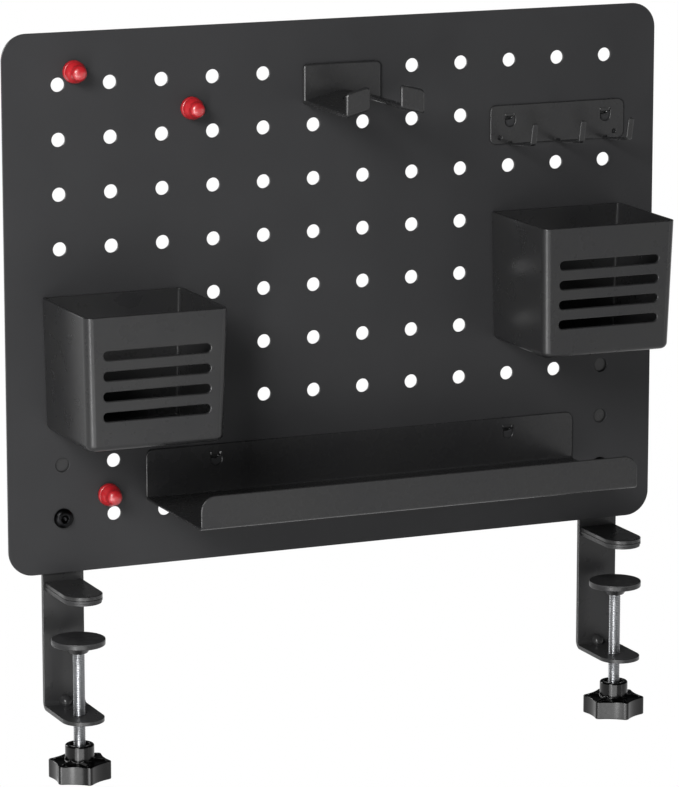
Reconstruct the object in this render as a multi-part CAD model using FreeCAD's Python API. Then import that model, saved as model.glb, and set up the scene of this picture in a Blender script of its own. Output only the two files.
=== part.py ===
import FreeCAD, Part
import math
import os

# Clamp-on pegboard desk organiser.
#
# A flat powder-coated steel board with a grid of round peg holes stands behind the
# rear edge of a desk on two screw clamps.  Two slotted bins, a tray, a headphone hook
# and a key rail hang in the holes by tongues, and magnetic push pins hold to the board.
#
# Millimetres.  X runs to the right along the desk edge, Y runs back from the user,
# Z is up.  The origin is midway between the two clamps, where the top of the desk
# meets the desk's rear edge: the jaw pads' undersides lie in Z = 0 and the front faces
# of the clamp strips lie in Y = 0.

V = FreeCAD.Vector
X_AXIS = V(1, 0, 0)
Y_AXIS = V(0, 1, 0)
Z_AXIS = V(0, 0, 1)

# ---------------------------------------------------------------- driving dimensions

# peg board
PITCH = 38.1                    # both ways, centre to centre of the peg holes
COLUMNS = 12
ROWS = 9                        # row 0 is the top one
HOLE_D = 10.0
BOARD_W = 500.0
BOARD_H = 380.0
BOARD_T = 2.0
BOARD_CORNER_R = 18.0
BOARD_BOTTOM_Z = 12.6
BOTTOM_MARGIN = 39.1            # lower edge of the board to the lowest row of holes
BOARD_FRONT_Y = -BOARD_T

# clamp brackets
CLAMP_COLUMNS = (0, 11)
SCREW_ROW = 8
BOSS_ROW = 5                    # a flush boss on the strip locates in this row
BOSS_D = 9.6
BOSS_H = 1.8
STRIP_W = 30.5
STRIP_T = 3.0
STRIP_TOP_MARGIN = 15.2         # above the boss
STRIP_CORNER_R = 6.0
BEND_INNER_R = 3.0
LOWER_JAW_TOP_Z = -83.0
LOWER_JAW_REACH = 52.0
GUSSET_R = 4.0
GUSSET_LEG = 11.0               # reach of the gusset up the strip and along the jaw
GUSSET_SINK = 2.2               # the gusset's axis lies this far behind its legs' ends
UPPER_JAW_W = 28.0
UPPER_JAW_REACH = 53.0
UPPER_JAW_T = 3.0
UPPER_JAW_TOP_Z = 6.6
UPPER_JAW_EDGE_R = 0.6
JAW_PAD_STEP_T = 1.8            # thickness of the pad's slightly narrower lower layer
JAW_PAD_STEP_IN = 0.6

# clamp screw, pressure foot and knob
SCREW_Y = -29.5
ROD_D = 8.0
ROD_HOLE_D = 8.7
FOOT_TOP_Z = -28.3              # with the clamp set as for a 28 mm desk top
FOOT_D = 38.0
FOOT_PAD_T = 1.4
FOOT_PLATE_T = 3.0
FOOT_HUB_H = 5.6
FOOT_HUB_TOP_R = 10.5
FOOT_HUB_BOTTOM_R = 6.5
FOOT_EDGE_R = 0.8
FOOT_PAD_EDGE_R = 0.5
ROD_NECK_D = 5.8
ROD_NECK_DROP = 0.5             # shoulder of the screw below the disc's plate
RIVET_D = 9.0
RIVET_T = 1.0
RUNNING_GAP = 0.3               # between parts that turn or slide in each other
PRESS_GAP = 0.05                # between parts that are pressed or moulded together
KNOB_HUB_TOP_Z = -104.5
KNOB_HUB_H = 12.7
KNOB_HUB_R = 10.3
KNOB_RECESS_R = 7.0
KNOB_RECESS_H = 2.4
KNOB_BODY_H = 13.1
KNOB_ACROSS_CORNERS = 44.5
KNOB_FLAT_HOLLOW = 0.9          # how far each flat is hollowed
KNOB_CORNER_R = 3.0
KNOB_RIDGE_H = 2.4
KNOB_RIDGE_W = 10.0
KNOB_RIDGE_END_W = 2.5
KNOB_RIDGE_END_H = 1.2
KNOB_HUB_EDGE_R = 1.2
KNOB_SINK = 0.5                 # hub and ridges start this far inside the body
BOLT_HEAD_AF = 13.0
BOLT_HEAD_H = 5.3
BOLT_HEAD_RECESS = 0.5          # head above the knob's underside

# bracket screws: M8 button head, washer and nut
FASTENER_THREAD_D = 7.8
BUTTON_HEAD_D = 14.0
BUTTON_HEAD_H = 4.4
BUTTON_HEAD_FLAT = 0.5          # height of the crown cut off flat
SOCKET_AF = 5.0
SOCKET_DEPTH = 2.6
WASHER_D = 16.0
WASHER_T = 1.6
NUT_AF = 13.0
NUT_H = 6.5
NUT_BORE_D = 8.0
NUT_CHAMFER = 0.9
CLEARANCE_BORE_D = 8.4          # in strips and washers
SCREW_TAIL = 1.5                # thread left showing beyond the nut

# how the accessories hang in the holes
BACK_GAP = 0.2                  # accessory back to board front, and tongue leg to board
TONGUE_W = 6.6
TONGUE_SEAT = 3.4               # tongue underside below the centre of its hole, at rest
TONGUE_LEG_GAP = 0.3
TONGUE_BEND_R = 0.5
TONGUE_PLAY = 0.1               # left in the hole when a tongue is lifted fully
HANG_TOP = 5.4                  # upper edge of an accessory above its row of holes
SHEET_T = 1.5                   # tray and key rail
WINDOW_W = 9.2                  # window left where a tongue is pushed out of the sheet
WINDOW_H = 9.5
WINDOW_TOP = -0.4               # window's upper edge from the centre of the hole

# bins (two alike)
BIN_W = 104.5
BIN_D = 88.0
BIN_H = 93.5
BIN_DRAFT_SIDE = 2.4            # each side wall leans in by this much at the bottom
BIN_DRAFT_FRONT = 3.0
BIN_WALL = 2.2
BIN_FLOOR = 2.4
BIN_FRONT_R = 6.0
BIN_BACK_R = 3.0
BIN_BOTTOM_R = 4.5
BIN_CAVITY_BACK_R = 2.6
BIN_SLOTS = 4
BIN_SLOT_L = 78.2
BIN_SLOT_H = 6.5
BIN_SLOT_PITCH = 14.2
BIN_SLOT_TOP = 26.8             # bin's rim to the centre line of the first slot
BIN_TONGUE_T = 2.0
BIN_LEFT_HANG = (1, 4)          # middle column and row of holes
BIN_RIGHT_HANG = (10, 3)

# tray
TRAY_COLUMNS = (3, 9)
TRAY_ROW = 7
TRAY_W = 333.6
TRAY_FLOOR_Z = 59.5             # underside
TRAY_LIP_Y = -108.0             # front face of the lip
TRAY_LIP_H = 23.8
TRAY_BACK_CORNER_R = 5.0
TRAY_LIP_CORNER_R = 10.5
SHEET_BEND_R = 1.5

# headphone hook
HOOK_X = 1.9
HOOK_COLUMNS = (5, 6)
HOOK_ROW = 0
HOOK_TOP = 4.7                  # upper edge above the row of holes
HOOK_W = 58.7
HOOK_T = 3.0
HOOK_REACH_Y = -80.0            # front face of the two lips
HOOK_EDGE_Z = 332.8             # underside of the saddle at its outer edges
HOOK_SLOPE = 14.4               # degrees, each half of the saddle
HOOK_RIDGE_R = 30.0
HOOK_LIP_W = 17.6
HOOK_LIP_H = 17.2
HOOK_NOTCH_FLOOR_Y = -24.0      # where the gap between the two arms ends
HOOK_CORNER_R = 3.0
HOOK_FOLD_R = 2.5
HOOK_TAB_T = 2.0
HOOK_TAB_POCKET = 1.8           # depth of the pocket that each tab is welded into

# key rail
RAIL_COLUMNS = (9, 10, 11)
RAIL_ROW = 1
RAIL_W = 106.5
RAIL_TOP = 5.8
RAIL_BOTTOM_Z = 296.0
RAIL_CORNER_R = 4.5
RAIL_PIN_HOLE_D = 3.0
RAIL_PIN_HOLE_IN = 7.6          # from each end
RAIL_PIN_HOLE_UP = 4.8          # from the lower edge
RAIL_HOOK_W = 4.4
RAIL_HOOK_Y = -42.0
RAIL_HOOK_RISE = 4.4            # of the arm, from the rail to the upturned tip
RAIL_TIP_Y = -45.6
RAIL_TIP_Z = 316.6
RAIL_HOOK_BEND_R = 3.0
RAIL_TIP_R = 2.0

# magnetic push pins: x and z of each
PIN_PLACES = ((-198.4, 365.2), (-111.8, 335.4), (-176.0, 66.0))
PIN_MAGNET_D = 10.0
PIN_MAGNET_T = 2.8
# half profile, radius against distance from the face that holds to the board
PIN_BASE = ((7.9, 0.0), (8.2, 0.3), (8.2, 3.5), (7.5, 4.3))
PIN_GROOVE = ((7.0, 4.5), (7.0, 4.9), (7.2, 5.2))
PIN_BODY = ((7.2, 5.2), (6.7, 6.9), (5.4, 9.0), (4.1, 11.0), (3.7, 12.6), (4.2, 14.3),
            (4.8, 16.0), (4.7, 17.9), (3.6, 19.4), (1.6, 19.95), (0.0, 20.0))


# ---------------------------------------------------------------- helpers

def column_x(column):
    """x of a column of peg holes, counted from the left."""
    return (column - (COLUMNS - 1) / 2.0) * PITCH


def row_z(row):
    """z of a row of peg holes, counted from the top."""
    return BOARD_BOTTOM_Z + BOTTOM_MARGIN + (ROWS - 1 - row) * PITCH


def box(x0, x1, y0, y1, z0, z1):
    """A box between two corners."""
    return Part.makeBox(x1 - x0, y1 - y0, z1 - z0, V(x0, y0, z0))


def rod(radius, start, axis, length):
    """A cylinder from start along axis."""
    return Part.makeCylinder(radius, length, start, axis)


def offset_corner(before, corner, after, radius, side):
    """Arc points of one side of a bend: side is the signed distance from the centre line."""
    back = (before - corner).normalize()
    ahead = (after - corner).normalize()
    half_turn = (math.pi - back.getAngle(ahead)) / 2.0
    setback = radius * math.tan(half_turn)
    centre = corner + (back + ahead).normalize() * (radius / math.cos(half_turn))
    turns_left = back.cross(ahead).x < 0
    reach = radius - side if turns_left else radius + side
    tangents = (corner + back * setback, corner + ahead * setback)
    points = [centre + (t - centre).normalize() * reach for t in tangents]
    middle = centre + (corner - centre).normalize() * reach
    return points[0], middle, points[1]


def bent_sheet(path, inner_radius, thickness, x0, x1):
    """Sheet metal bent along a centre line of (y, z) points and spanning x0 to x1."""
    line = [V(x0, y, z) for y, z in path]
    radius = inner_radius + thickness / 2.0
    sides = []
    for side in (thickness / 2.0, -thickness / 2.0):
        first = (line[1] - line[0]).normalize()
        last = (line[-1] - line[-2]).normalize()
        edges = []
        cursor = line[0] + X_AXIS.cross(first) * side
        start = cursor
        for before, corner, after in zip(line, line[1:], line[2:]):
            a, middle, b = offset_corner(before, corner, after, radius, side)
            edges.append(Part.LineSegment(cursor, a).toShape())
            edges.append(Part.Arc(a, middle, b).toShape())
            cursor = b
        end = line[-1] + X_AXIS.cross(last) * side
        edges.append(Part.LineSegment(cursor, end).toShape())
        sides.append((edges, start, end))
    caps = [
        Part.LineSegment(sides[0][2], sides[1][2]).toShape(),
        Part.LineSegment(sides[0][1], sides[1][1]).toShape(),
    ]
    wire = Part.Wire(Part.__sortEdges__(sides[0][0] + sides[1][0] + caps))
    return Part.Face(wire).extrude(X_AXIS * (x1 - x0))


def corner_cut(x, z, side_x, side_z, radius, y0, y1):
    """What is cut away to round the corner (x, z) of an upright plate."""
    x_in = x - side_x * radius
    z_in = z - side_z * radius
    margin = 1.0
    xs = sorted((x_in, x + side_x * margin))
    zs = sorted((z_in, z + side_z * margin))
    block = box(xs[0], xs[1], y0, y1, zs[0], zs[1])
    return block.cut(rod(radius, V(x_in, y0 - margin, z_in), Y_AXIS, y1 - y0 + 2 * margin))


def upright_plate(x0, x1, z0, z1, y0, y1, radius):
    """A plate in the XZ plane with four round corners."""
    plate = box(x0, x1, y0, y1, z0, z1)
    edges = [e for e in plate.Edges if abs(e.tangentAt(e.FirstParameter).y) > 0.99]
    return plate.makeFillet(radius, edges)


def upright_prism(points, y0, y1):
    """A prism along Y on an (x, z) outline."""
    wire = Part.makePolygon([V(x, y0, z) for x, z in points + points[:1]])
    return Part.Face(wire).extrude(Y_AXIS * (y1 - y0))


def tongue_plan(width, reach, z0, z1, x):
    """A flat jaw with a half-round front end, from Y = 0 to -reach."""
    radius = width / 2.0
    plate = box(x - radius, x + radius, radius - reach, 0.0, z0, z1)
    return plate.fuse(rod(radius, V(x, radius - reach, z0), Z_AXIS, z1 - z0)).removeSplitter()


def hexagon(across_flats, centre, axis, length, turn):
    """A hexagonal prism, turned by an angle in degrees about its axis."""
    radius = across_flats / math.sqrt(3.0)
    corners = [V(radius * math.cos(math.radians(60.0 * i + turn)),
                 radius * math.sin(math.radians(60.0 * i + turn)), 0) for i in range(7)]
    prism = Part.Face(Part.makePolygon(corners)).extrude(Z_AXIS * length)
    prism.Placement = FreeCAD.Placement(centre, FreeCAD.Rotation(Z_AXIS, axis))
    return prism


def hanging_tongue(x, hole_z, thickness, root_y, root_z):
    """Tongue through a peg hole: back through the board, then down behind it."""
    bar_z = hole_z - TONGUE_SEAT + thickness / 2.0
    leg_y = TONGUE_LEG_GAP + thickness / 2.0
    path = [(leg_y, hole_z - TONGUE_SEAT - tongue_lift(thickness)), (leg_y, bar_z), (root_y, bar_z)]
    if root_z is not None:
        path.append((root_y, hole_z + root_z))
    return bent_sheet(path, TONGUE_BEND_R, thickness, x - TONGUE_W / 2.0, x + TONGUE_W / 2.0)


def tongue_lift(thickness):
    """How far a hung piece lifts until its tongues meet the tops of their holes."""
    return 2.0 * TONGUE_SEAT - thickness - TONGUE_PLAY


def lanced_tongue(plate, x, hole_z):
    """Push a tongue out of the plate of a sheet part and leave its window."""
    y_back = BOARD_FRONT_Y - BACK_GAP
    y0 = y_back - SHEET_T - 1.0
    y1 = y_back + 1.0
    top = hole_z + WINDOW_TOP
    radius = WINDOW_W / 2.0
    round_z = top - WINDOW_H + radius
    window = box(x - radius, x + radius, y0, y1, round_z, top)
    window = window.fuse(rod(radius, V(x, y0, round_z), Y_AXIS, y1 - y0))
    root_y = y_back - SHEET_T / 2.0
    tongue = hanging_tongue(x, hole_z, SHEET_T, root_y, WINDOW_TOP + 1.0)
    return plate.cut(window).fuse(tongue).removeSplitter()


# ---------------------------------------------------------------- board

def make_board():
    """Steel sheet with round corners and a grid of peg holes."""
    half = BOARD_W / 2.0
    board = upright_plate(-half, half, BOARD_BOTTOM_Z, BOARD_BOTTOM_Z + BOARD_H,
                          BOARD_FRONT_Y, 0.0, BOARD_CORNER_R)
    drill = [rod(HOLE_D / 2.0, V(column_x(c), BOARD_FRONT_Y - 1.0, row_z(r)), Y_AXIS, BOARD_T + 2.0)
             for c in range(COLUMNS) for r in range(ROWS)]
    return board.cut(Part.makeCompound(drill))


# ---------------------------------------------------------------- clamps

def make_gusset(x):
    """Rib pressed into the inside of the bend: the part of a slanted bar that stands out of it."""
    down = V(0, -1, -1).normalize()
    into = V(0, 1, -1).normalize()
    start = V(x, 0, LOWER_JAW_TOP_Z + GUSSET_LEG) + into * GUSSET_SINK - down * GUSSET_R
    bar = rod(GUSSET_R, start, down, GUSSET_LEG * math.sqrt(2.0) + 2.0 * GUSSET_R)
    reach = GUSSET_LEG + 2.0 * GUSSET_R
    return bar.common(box(x - GUSSET_R, x + GUSSET_R, -reach, STRIP_T / 2.0,
                          LOWER_JAW_TOP_Z - STRIP_T / 2.0, LOWER_JAW_TOP_Z + reach))


def make_bracket(x):
    """Strip behind the board with a locating boss, bent forward at the foot into the lower jaw."""
    mid_y = STRIP_T / 2.0
    jaw_z = LOWER_JAW_TOP_Z - STRIP_T / 2.0
    top = row_z(BOSS_ROW) + STRIP_TOP_MARGIN
    x0 = x - STRIP_W / 2.0
    x1 = x + STRIP_W / 2.0
    path = [(mid_y, top), (mid_y, jaw_z), (-LOWER_JAW_REACH, jaw_z)]
    bracket = bent_sheet(path, BEND_INNER_R, STRIP_T, x0, x1)
    for edge_x, side in ((x0, -1), (x1, 1)):
        bracket = bracket.cut(corner_cut(edge_x, top, side, 1, STRIP_CORNER_R, -1.0, STRIP_T + 1.0))
    jaw_z0 = LOWER_JAW_TOP_Z - STRIP_T
    nose_y = STRIP_W / 2.0 - LOWER_JAW_REACH
    waste = box(x0 - 1.0, x1 + 1.0, -LOWER_JAW_REACH - 1.0, nose_y, jaw_z0 - 1.0, jaw_z0 + STRIP_T + 1.0)
    waste = waste.cut(rod(STRIP_W / 2.0, V(x, nose_y, jaw_z0 - 2.0), Z_AXIS, STRIP_T + 4.0))
    bracket = bracket.cut(waste)
    bracket = bracket.fuse(make_gusset(x))
    bracket = bracket.cut(rod(ROD_HOLE_D / 2.0, V(x, SCREW_Y, jaw_z0 - 1.0), Z_AXIS, STRIP_T + 2.0))
    bracket = bracket.cut(rod(CLEARANCE_BORE_D / 2.0, V(x, -1.0, row_z(SCREW_ROW)), Y_AXIS, STRIP_T + 2.0))
    boss = rod(BOSS_D / 2.0, V(x, -BOSS_H, row_z(BOSS_ROW)), Y_AXIS, BOSS_H + mid_y)
    return bracket.fuse(boss).removeSplitter()


def make_upper_jaw(x):
    """Flat jaw welded to the front of the strip, resting on the desk through its pad."""
    jaw = tongue_plan(UPPER_JAW_W, UPPER_JAW_REACH, UPPER_JAW_TOP_Z - UPPER_JAW_T, UPPER_JAW_TOP_Z, x)
    upper = [e for e in jaw.Edges
             if e.BoundBox.ZMin > UPPER_JAW_TOP_Z - 0.01 and e.BoundBox.YMin < -1.0]
    return jaw.makeFillet(UPPER_JAW_EDGE_R, upper)


def make_jaw_pad(x):
    """Rubber pad under the upper jaw, in two layers, the lower one slightly inset."""
    top = UPPER_JAW_TOP_Z - UPPER_JAW_T
    upper = tongue_plan(UPPER_JAW_W, UPPER_JAW_REACH, JAW_PAD_STEP_T, top, x)
    lower = tongue_plan(UPPER_JAW_W - 2.0 * JAW_PAD_STEP_IN, UPPER_JAW_REACH - JAW_PAD_STEP_IN,
                        0.0, JAW_PAD_STEP_T, x)
    return upper.fuse(lower).removeSplitter()


def make_foot_disc(x):
    """Pressure disc: a flat plate on a tapered hub, riveted to the screw so that it can turn."""
    plate_top = FOOT_TOP_Z - FOOT_PAD_T
    plate_bottom = plate_top - FOOT_PLATE_T
    hub_bottom = plate_bottom - FOOT_HUB_H
    centre = V(x, SCREW_Y, 0)
    disc = rod(FOOT_D / 2.0, centre + Z_AXIS * plate_bottom, Z_AXIS, FOOT_PLATE_T)
    rim = [e for e in disc.Edges if e.BoundBox.ZLength < 0.01 and e.BoundBox.ZMin < plate_bottom + 0.1]
    disc = disc.makeFillet(FOOT_EDGE_R, rim)
    hub = Part.makeCone(FOOT_HUB_BOTTOM_R, FOOT_HUB_TOP_R, FOOT_HUB_H, centre + Z_AXIS * hub_bottom, Z_AXIS)
    disc = disc.fuse(hub)
    shoulder = plate_bottom - ROD_NECK_DROP
    bore = rod(ROD_D / 2.0 + RUNNING_GAP, centre + Z_AXIS * (hub_bottom - 1.0), Z_AXIS,
               shoulder - hub_bottom + 1.0)
    neck = rod(ROD_NECK_D / 2.0 + RUNNING_GAP, centre + Z_AXIS * hub_bottom, Z_AXIS,
               plate_top - hub_bottom + 1.0)
    head_room = RIVET_T + 2.0 * RUNNING_GAP
    pocket = rod(RIVET_D / 2.0 + RUNNING_GAP, centre + Z_AXIS * (plate_top - head_room),
                 Z_AXIS, head_room + 1.0)
    return disc.cut(bore).cut(neck).cut(pocket).removeSplitter()


def make_foot_pad(x):
    """Rubber facing on the pressure disc."""
    pad = rod(FOOT_D / 2.0, V(x, SCREW_Y, FOOT_TOP_Z - FOOT_PAD_T), Z_AXIS, FOOT_PAD_T)
    rim = [e for e in pad.Edges if e.BoundBox.ZLength < 0.01 and e.BoundBox.ZMin > FOOT_TOP_Z - 0.1]
    return pad.makeFillet(FOOT_PAD_EDGE_R, rim)


def make_clamp_screw(x):
    """Hexagon-headed screw with a riveted neck at the top that holds the pressure disc."""
    centre = V(x, SCREW_Y, 0)
    plate_top = FOOT_TOP_Z - FOOT_PAD_T
    rivet_top = plate_top - RUNNING_GAP
    shoulder = plate_top - FOOT_PLATE_T - ROD_NECK_DROP - RUNNING_GAP
    head_bottom = KNOB_HUB_TOP_Z - KNOB_HUB_H - KNOB_BODY_H + BOLT_HEAD_RECESS
    head_top = head_bottom + BOLT_HEAD_H
    shank = rod(ROD_D / 2.0, centre + Z_AXIS * head_top, Z_AXIS, shoulder - head_top)
    neck = rod(ROD_NECK_D / 2.0, centre + Z_AXIS * shoulder, Z_AXIS, rivet_top - RIVET_T - shoulder)
    rivet = rod(RIVET_D / 2.0, centre + Z_AXIS * (rivet_top - RIVET_T), Z_AXIS, RIVET_T)
    head = hexagon(BOLT_HEAD_AF, centre + Z_AXIS * head_bottom, Z_AXIS, BOLT_HEAD_H, 0.0)
    return shank.fuse([neck, rivet, head]).removeSplitter()


def make_knob(x):
    """Six-sided hand knob: hollowed flats, round corners, a ridge to each corner and a hub."""
    hub_bottom = KNOB_HUB_TOP_Z - KNOB_HUB_H
    body_bottom = hub_bottom - KNOB_BODY_H
    centre = V(x, SCREW_Y, 0)
    flats = KNOB_ACROSS_CORNERS * math.sqrt(3.0) / 2.0
    body = hexagon(flats, centre + Z_AXIS * body_bottom, Z_AXIS, KNOB_BODY_H, 30.0)
    corners = [e for e in body.Edges if abs(e.tangentAt(e.FirstParameter).z) > 0.99]
    body = body.makeFillet(KNOB_CORNER_R, corners)
    chord = flats / math.sqrt(3.0) - 2.0 * KNOB_CORNER_R
    hollow_r = (chord * chord / 4.0 + KNOB_FLAT_HOLLOW ** 2) / (2.0 * KNOB_FLAT_HOLLOW)
    reach = flats / 2.0 + hollow_r - KNOB_FLAT_HOLLOW
    for i in range(6):
        angle = math.radians(60.0 * i)
        away = V(math.cos(angle), math.sin(angle), 0)
        scoop = rod(hollow_r, centre + away * reach + Z_AXIS * (body_bottom - 1.0), Z_AXIS,
                    KNOB_BODY_H + 2.0)
        body = body.cut(scoop)
    root_z = hub_bottom - KNOB_SINK
    hub = rod(KNOB_HUB_R, centre + Z_AXIS * root_z, Z_AXIS, KNOB_HUB_H + KNOB_SINK)
    top_rim = [e for e in hub.Edges if e.BoundBox.ZLength < 0.01 and e.BoundBox.ZMin > KNOB_HUB_TOP_Z - 0.1]
    hub = hub.makeFillet(KNOB_HUB_EDGE_R, top_rim)
    ridge_end = KNOB_ACROSS_CORNERS / 2.0 - KNOB_CORNER_R
    ridges = []
    for i in range(6):
        # a gable that falls from the hub to the corner
        wires = []
        for at, width, height in ((0.0, KNOB_RIDGE_W, KNOB_RIDGE_H),
                                  (ridge_end, KNOB_RIDGE_END_W, KNOB_RIDGE_END_H)):
            foot = [V(at, -width / 2.0, root_z), V(at, width / 2.0, root_z)]
            wires.append(Part.makePolygon(foot + [V(at, 0, hub_bottom + height), foot[0]]))
        ridge = Part.makeLoft(wires, True, True)
        ridge.rotate(V(0, 0, 0), Z_AXIS, 60.0 * i + 30.0)
        ridge.translate(centre)
        ridges.append(ridge)
    knob = body.fuse([hub] + ridges)
    knob = knob.cut(rod(KNOB_RECESS_R, centre + Z_AXIS * (KNOB_HUB_TOP_Z - KNOB_RECESS_H), Z_AXIS,
                        KNOB_RECESS_H + 1.0))
    knob = knob.cut(rod(ROD_D / 2.0 + PRESS_GAP, centre + Z_AXIS * (body_bottom - 1.0), Z_AXIS,
                        KNOB_BODY_H + KNOB_HUB_H + 2.0))
    pocket_h = BOLT_HEAD_H + BOLT_HEAD_RECESS + PRESS_GAP
    pocket_af = BOLT_HEAD_AF + 2.0 * PRESS_GAP
    knob = knob.cut(hexagon(pocket_af, centre + Z_AXIS * body_bottom, Z_AXIS, pocket_h, 0.0))
    return knob.removeSplitter()


# ---------------------------------------------------------------- bracket fasteners

def fastener_places():
    """Centres of the screws that hold the brackets, on the board's front face."""
    return [V(column_x(c), BOARD_FRONT_Y, row_z(SCREW_ROW)) for c in CLAMP_COLUMNS]


def make_button_screw(place):
    """M8 button-head screw with a hexagon socket, its head in front of the board."""
    crown_r = (BUTTON_HEAD_D ** 2 / 4.0 + BUTTON_HEAD_H ** 2) / (2.0 * BUTTON_HEAD_H)
    head = Part.makeSphere(crown_r, place + Y_AXIS * (crown_r - BUTTON_HEAD_H))
    head = head.common(rod(BUTTON_HEAD_D / 2.0, place - Y_AXIS * BUTTON_HEAD_H, Y_AXIS, BUTTON_HEAD_H))
    head = head.common(rod(BUTTON_HEAD_D, place - Y_AXIS * (BUTTON_HEAD_H - BUTTON_HEAD_FLAT), Y_AXIS,
                           BUTTON_HEAD_H))
    socket = hexagon(SOCKET_AF, place - Y_AXIS * BUTTON_HEAD_H, Y_AXIS, SOCKET_DEPTH, 15.0)
    length = BOARD_T + STRIP_T + WASHER_T + NUT_H + SCREW_TAIL
    shank = rod(FASTENER_THREAD_D / 2.0, place, Y_AXIS, length)
    return head.fuse(shank).cut(socket).removeSplitter()


def make_washer(place):
    """Plain washer behind the strip."""
    start = place + Y_AXIS * (BOARD_T + STRIP_T)
    return rod(WASHER_D / 2.0, start, Y_AXIS, WASHER_T).cut(
        rod(CLEARANCE_BORE_D / 2.0, start - Y_AXIS, Y_AXIS, WASHER_T + 2.0))


def make_nut(place):
    """Hexagon nut with chamfered corners."""
    start = place + Y_AXIS * (BOARD_T + STRIP_T + WASHER_T)
    nut = hexagon(NUT_AF, start, Y_AXIS, NUT_H, 0.0)
    corner_r = NUT_AF / math.sqrt(3.0)
    for end, inward in ((start, Y_AXIS), (start + Y_AXIS * NUT_H, -Y_AXIS)):
        # chamfer the corners at 30 degrees towards each face
        slope = NUT_H * math.sqrt(3.0)
        nut = nut.common(Part.makeCone(corner_r - NUT_CHAMFER, corner_r - NUT_CHAMFER + slope, NUT_H, end, inward))
    return nut.cut(rod(NUT_BORE_D / 2.0, start - Y_AXIS, Y_AXIS, NUT_H + 2.0))


# ---------------------------------------------------------------- bins

def bin_outline(half_w, y0, y1, front_r, back_r, z):
    """Rounded rectangle from y0 (front) to y1 (back) at height z."""
    k = math.sqrt(0.5)
    arcs = []
    for sx, sy in ((-1, 1), (1, 1), (1, -1), (-1, -1)):
        r = back_r if sy > 0 else front_r
        corner = V(sx * half_w, y1 if sy > 0 else y0, z)
        middle = corner - V(sx * r, sy * r, 0)
        ends = [V(corner.x, middle.y, z), V(middle.x, corner.y, z)]
        if sx * sy > 0:
            ends.reverse()
        arcs.append((ends[0], middle + V(sx * r * k, sy * r * k, 0), ends[1]))
    edges = []
    for i, (a, m, b) in enumerate(arcs):
        edges.append(Part.Arc(a, m, b).toShape())
        edges.append(Part.LineSegment(b, arcs[(i + 1) % 4][0]).toShape())
    return Part.Wire(edges)


def bin_tub(inset, floor, front_r, back_r):
    """Drafted tub of the bin's outer shape, or of its cavity when inset."""
    y_back = BOARD_FRONT_Y - BACK_GAP
    taper = 1.0 - floor / BIN_H
    wires = []
    for lean, z in ((taper, floor - BIN_H), (0.0, 0.0)):
        half_w = BIN_W / 2.0 - BIN_DRAFT_SIDE * lean - inset
        y_front = y_back - BIN_D + BIN_DRAFT_FRONT * lean + inset
        wires.append(bin_outline(half_w, y_front, y_back - inset, front_r, back_r, z))
    tub = Part.makeLoft(wires, True, True)
    foot = [e for e in tub.Edges if e.BoundBox.ZMax < floor - BIN_H + 0.01]
    return tub.makeFillet(BIN_BOTTOM_R - inset, foot)


def make_bin(hang):
    """Moulded open-topped bin with four slots in front and two tongues behind."""
    column, row = hang
    shell = bin_tub(0.0, 0.0, BIN_FRONT_R, BIN_BACK_R)
    cavity = bin_tub(BIN_WALL, BIN_FLOOR, BIN_FRONT_R - BIN_WALL, BIN_CAVITY_BACK_R)
    shell = shell.cut(cavity)
    slots = []
    for i in range(BIN_SLOTS):
        z = -BIN_SLOT_TOP - i * BIN_SLOT_PITCH
        r = BIN_SLOT_H / 2.0
        x = BIN_SLOT_L / 2.0 - r
        y0 = BOARD_FRONT_Y - BIN_D - 5.0
        deep = BIN_WALL + 10.0
        bar = box(-x, x, y0, y0 + deep, z - r, z + r)
        bar = bar.fuse([rod(r, V(-x, y0, z), Y_AXIS, deep), rod(r, V(x, y0, z), Y_AXIS, deep)])
        slots.append(bar.removeSplitter())
    shell = shell.cut(slots)
    root_y = BOARD_FRONT_Y - BACK_GAP - BIN_WALL * 0.6
    tongues = [hanging_tongue(side * PITCH, -HANG_TOP, BIN_TONGUE_T, root_y, None) for side in (-1, 1)]
    shell = shell.fuse(tongues).removeSplitter()
    shell.translate(V(column_x(column), 0, row_z(row) + HANG_TOP))
    return shell


# ---------------------------------------------------------------- tray

def make_tray():
    """Sheet folded into a back plate, a floor and a front lip, with two lanced tongues."""
    centre = sum(column_x(c) for c in TRAY_COLUMNS) / len(TRAY_COLUMNS)
    x0 = centre - TRAY_W / 2.0
    x1 = centre + TRAY_W / 2.0
    half_t = SHEET_T / 2.0
    back_y = BOARD_FRONT_Y - BACK_GAP - half_t
    top = row_z(TRAY_ROW) + HANG_TOP
    lip_top = TRAY_FLOOR_Z + TRAY_LIP_H
    path = [(back_y, top), (back_y, TRAY_FLOOR_Z + half_t), (TRAY_LIP_Y + half_t, TRAY_FLOOR_Z + half_t),
            (TRAY_LIP_Y + half_t, lip_top)]
    tray = bent_sheet(path, SHEET_BEND_R, SHEET_T, x0, x1)
    for x, side in ((x0, -1), (x1, 1)):
        tray = tray.cut(corner_cut(x, top, side, 1, TRAY_BACK_CORNER_R, back_y - 2.0, back_y + 2.0))
        tray = tray.cut(corner_cut(x, lip_top, side, 1, TRAY_LIP_CORNER_R, TRAY_LIP_Y - 2.0, TRAY_LIP_Y + 4.0))
    for column in TRAY_COLUMNS:
        tray = lanced_tongue(tray, column_x(column), row_z(TRAY_ROW))
    return tray


# ---------------------------------------------------------------- headphone hook

def saddle_z(x):
    """Underside of the saddle before its ridge is rounded."""
    return HOOK_EDGE_Z + (HOOK_W / 2.0 - abs(x)) * math.tan(math.radians(HOOK_SLOPE))


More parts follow.
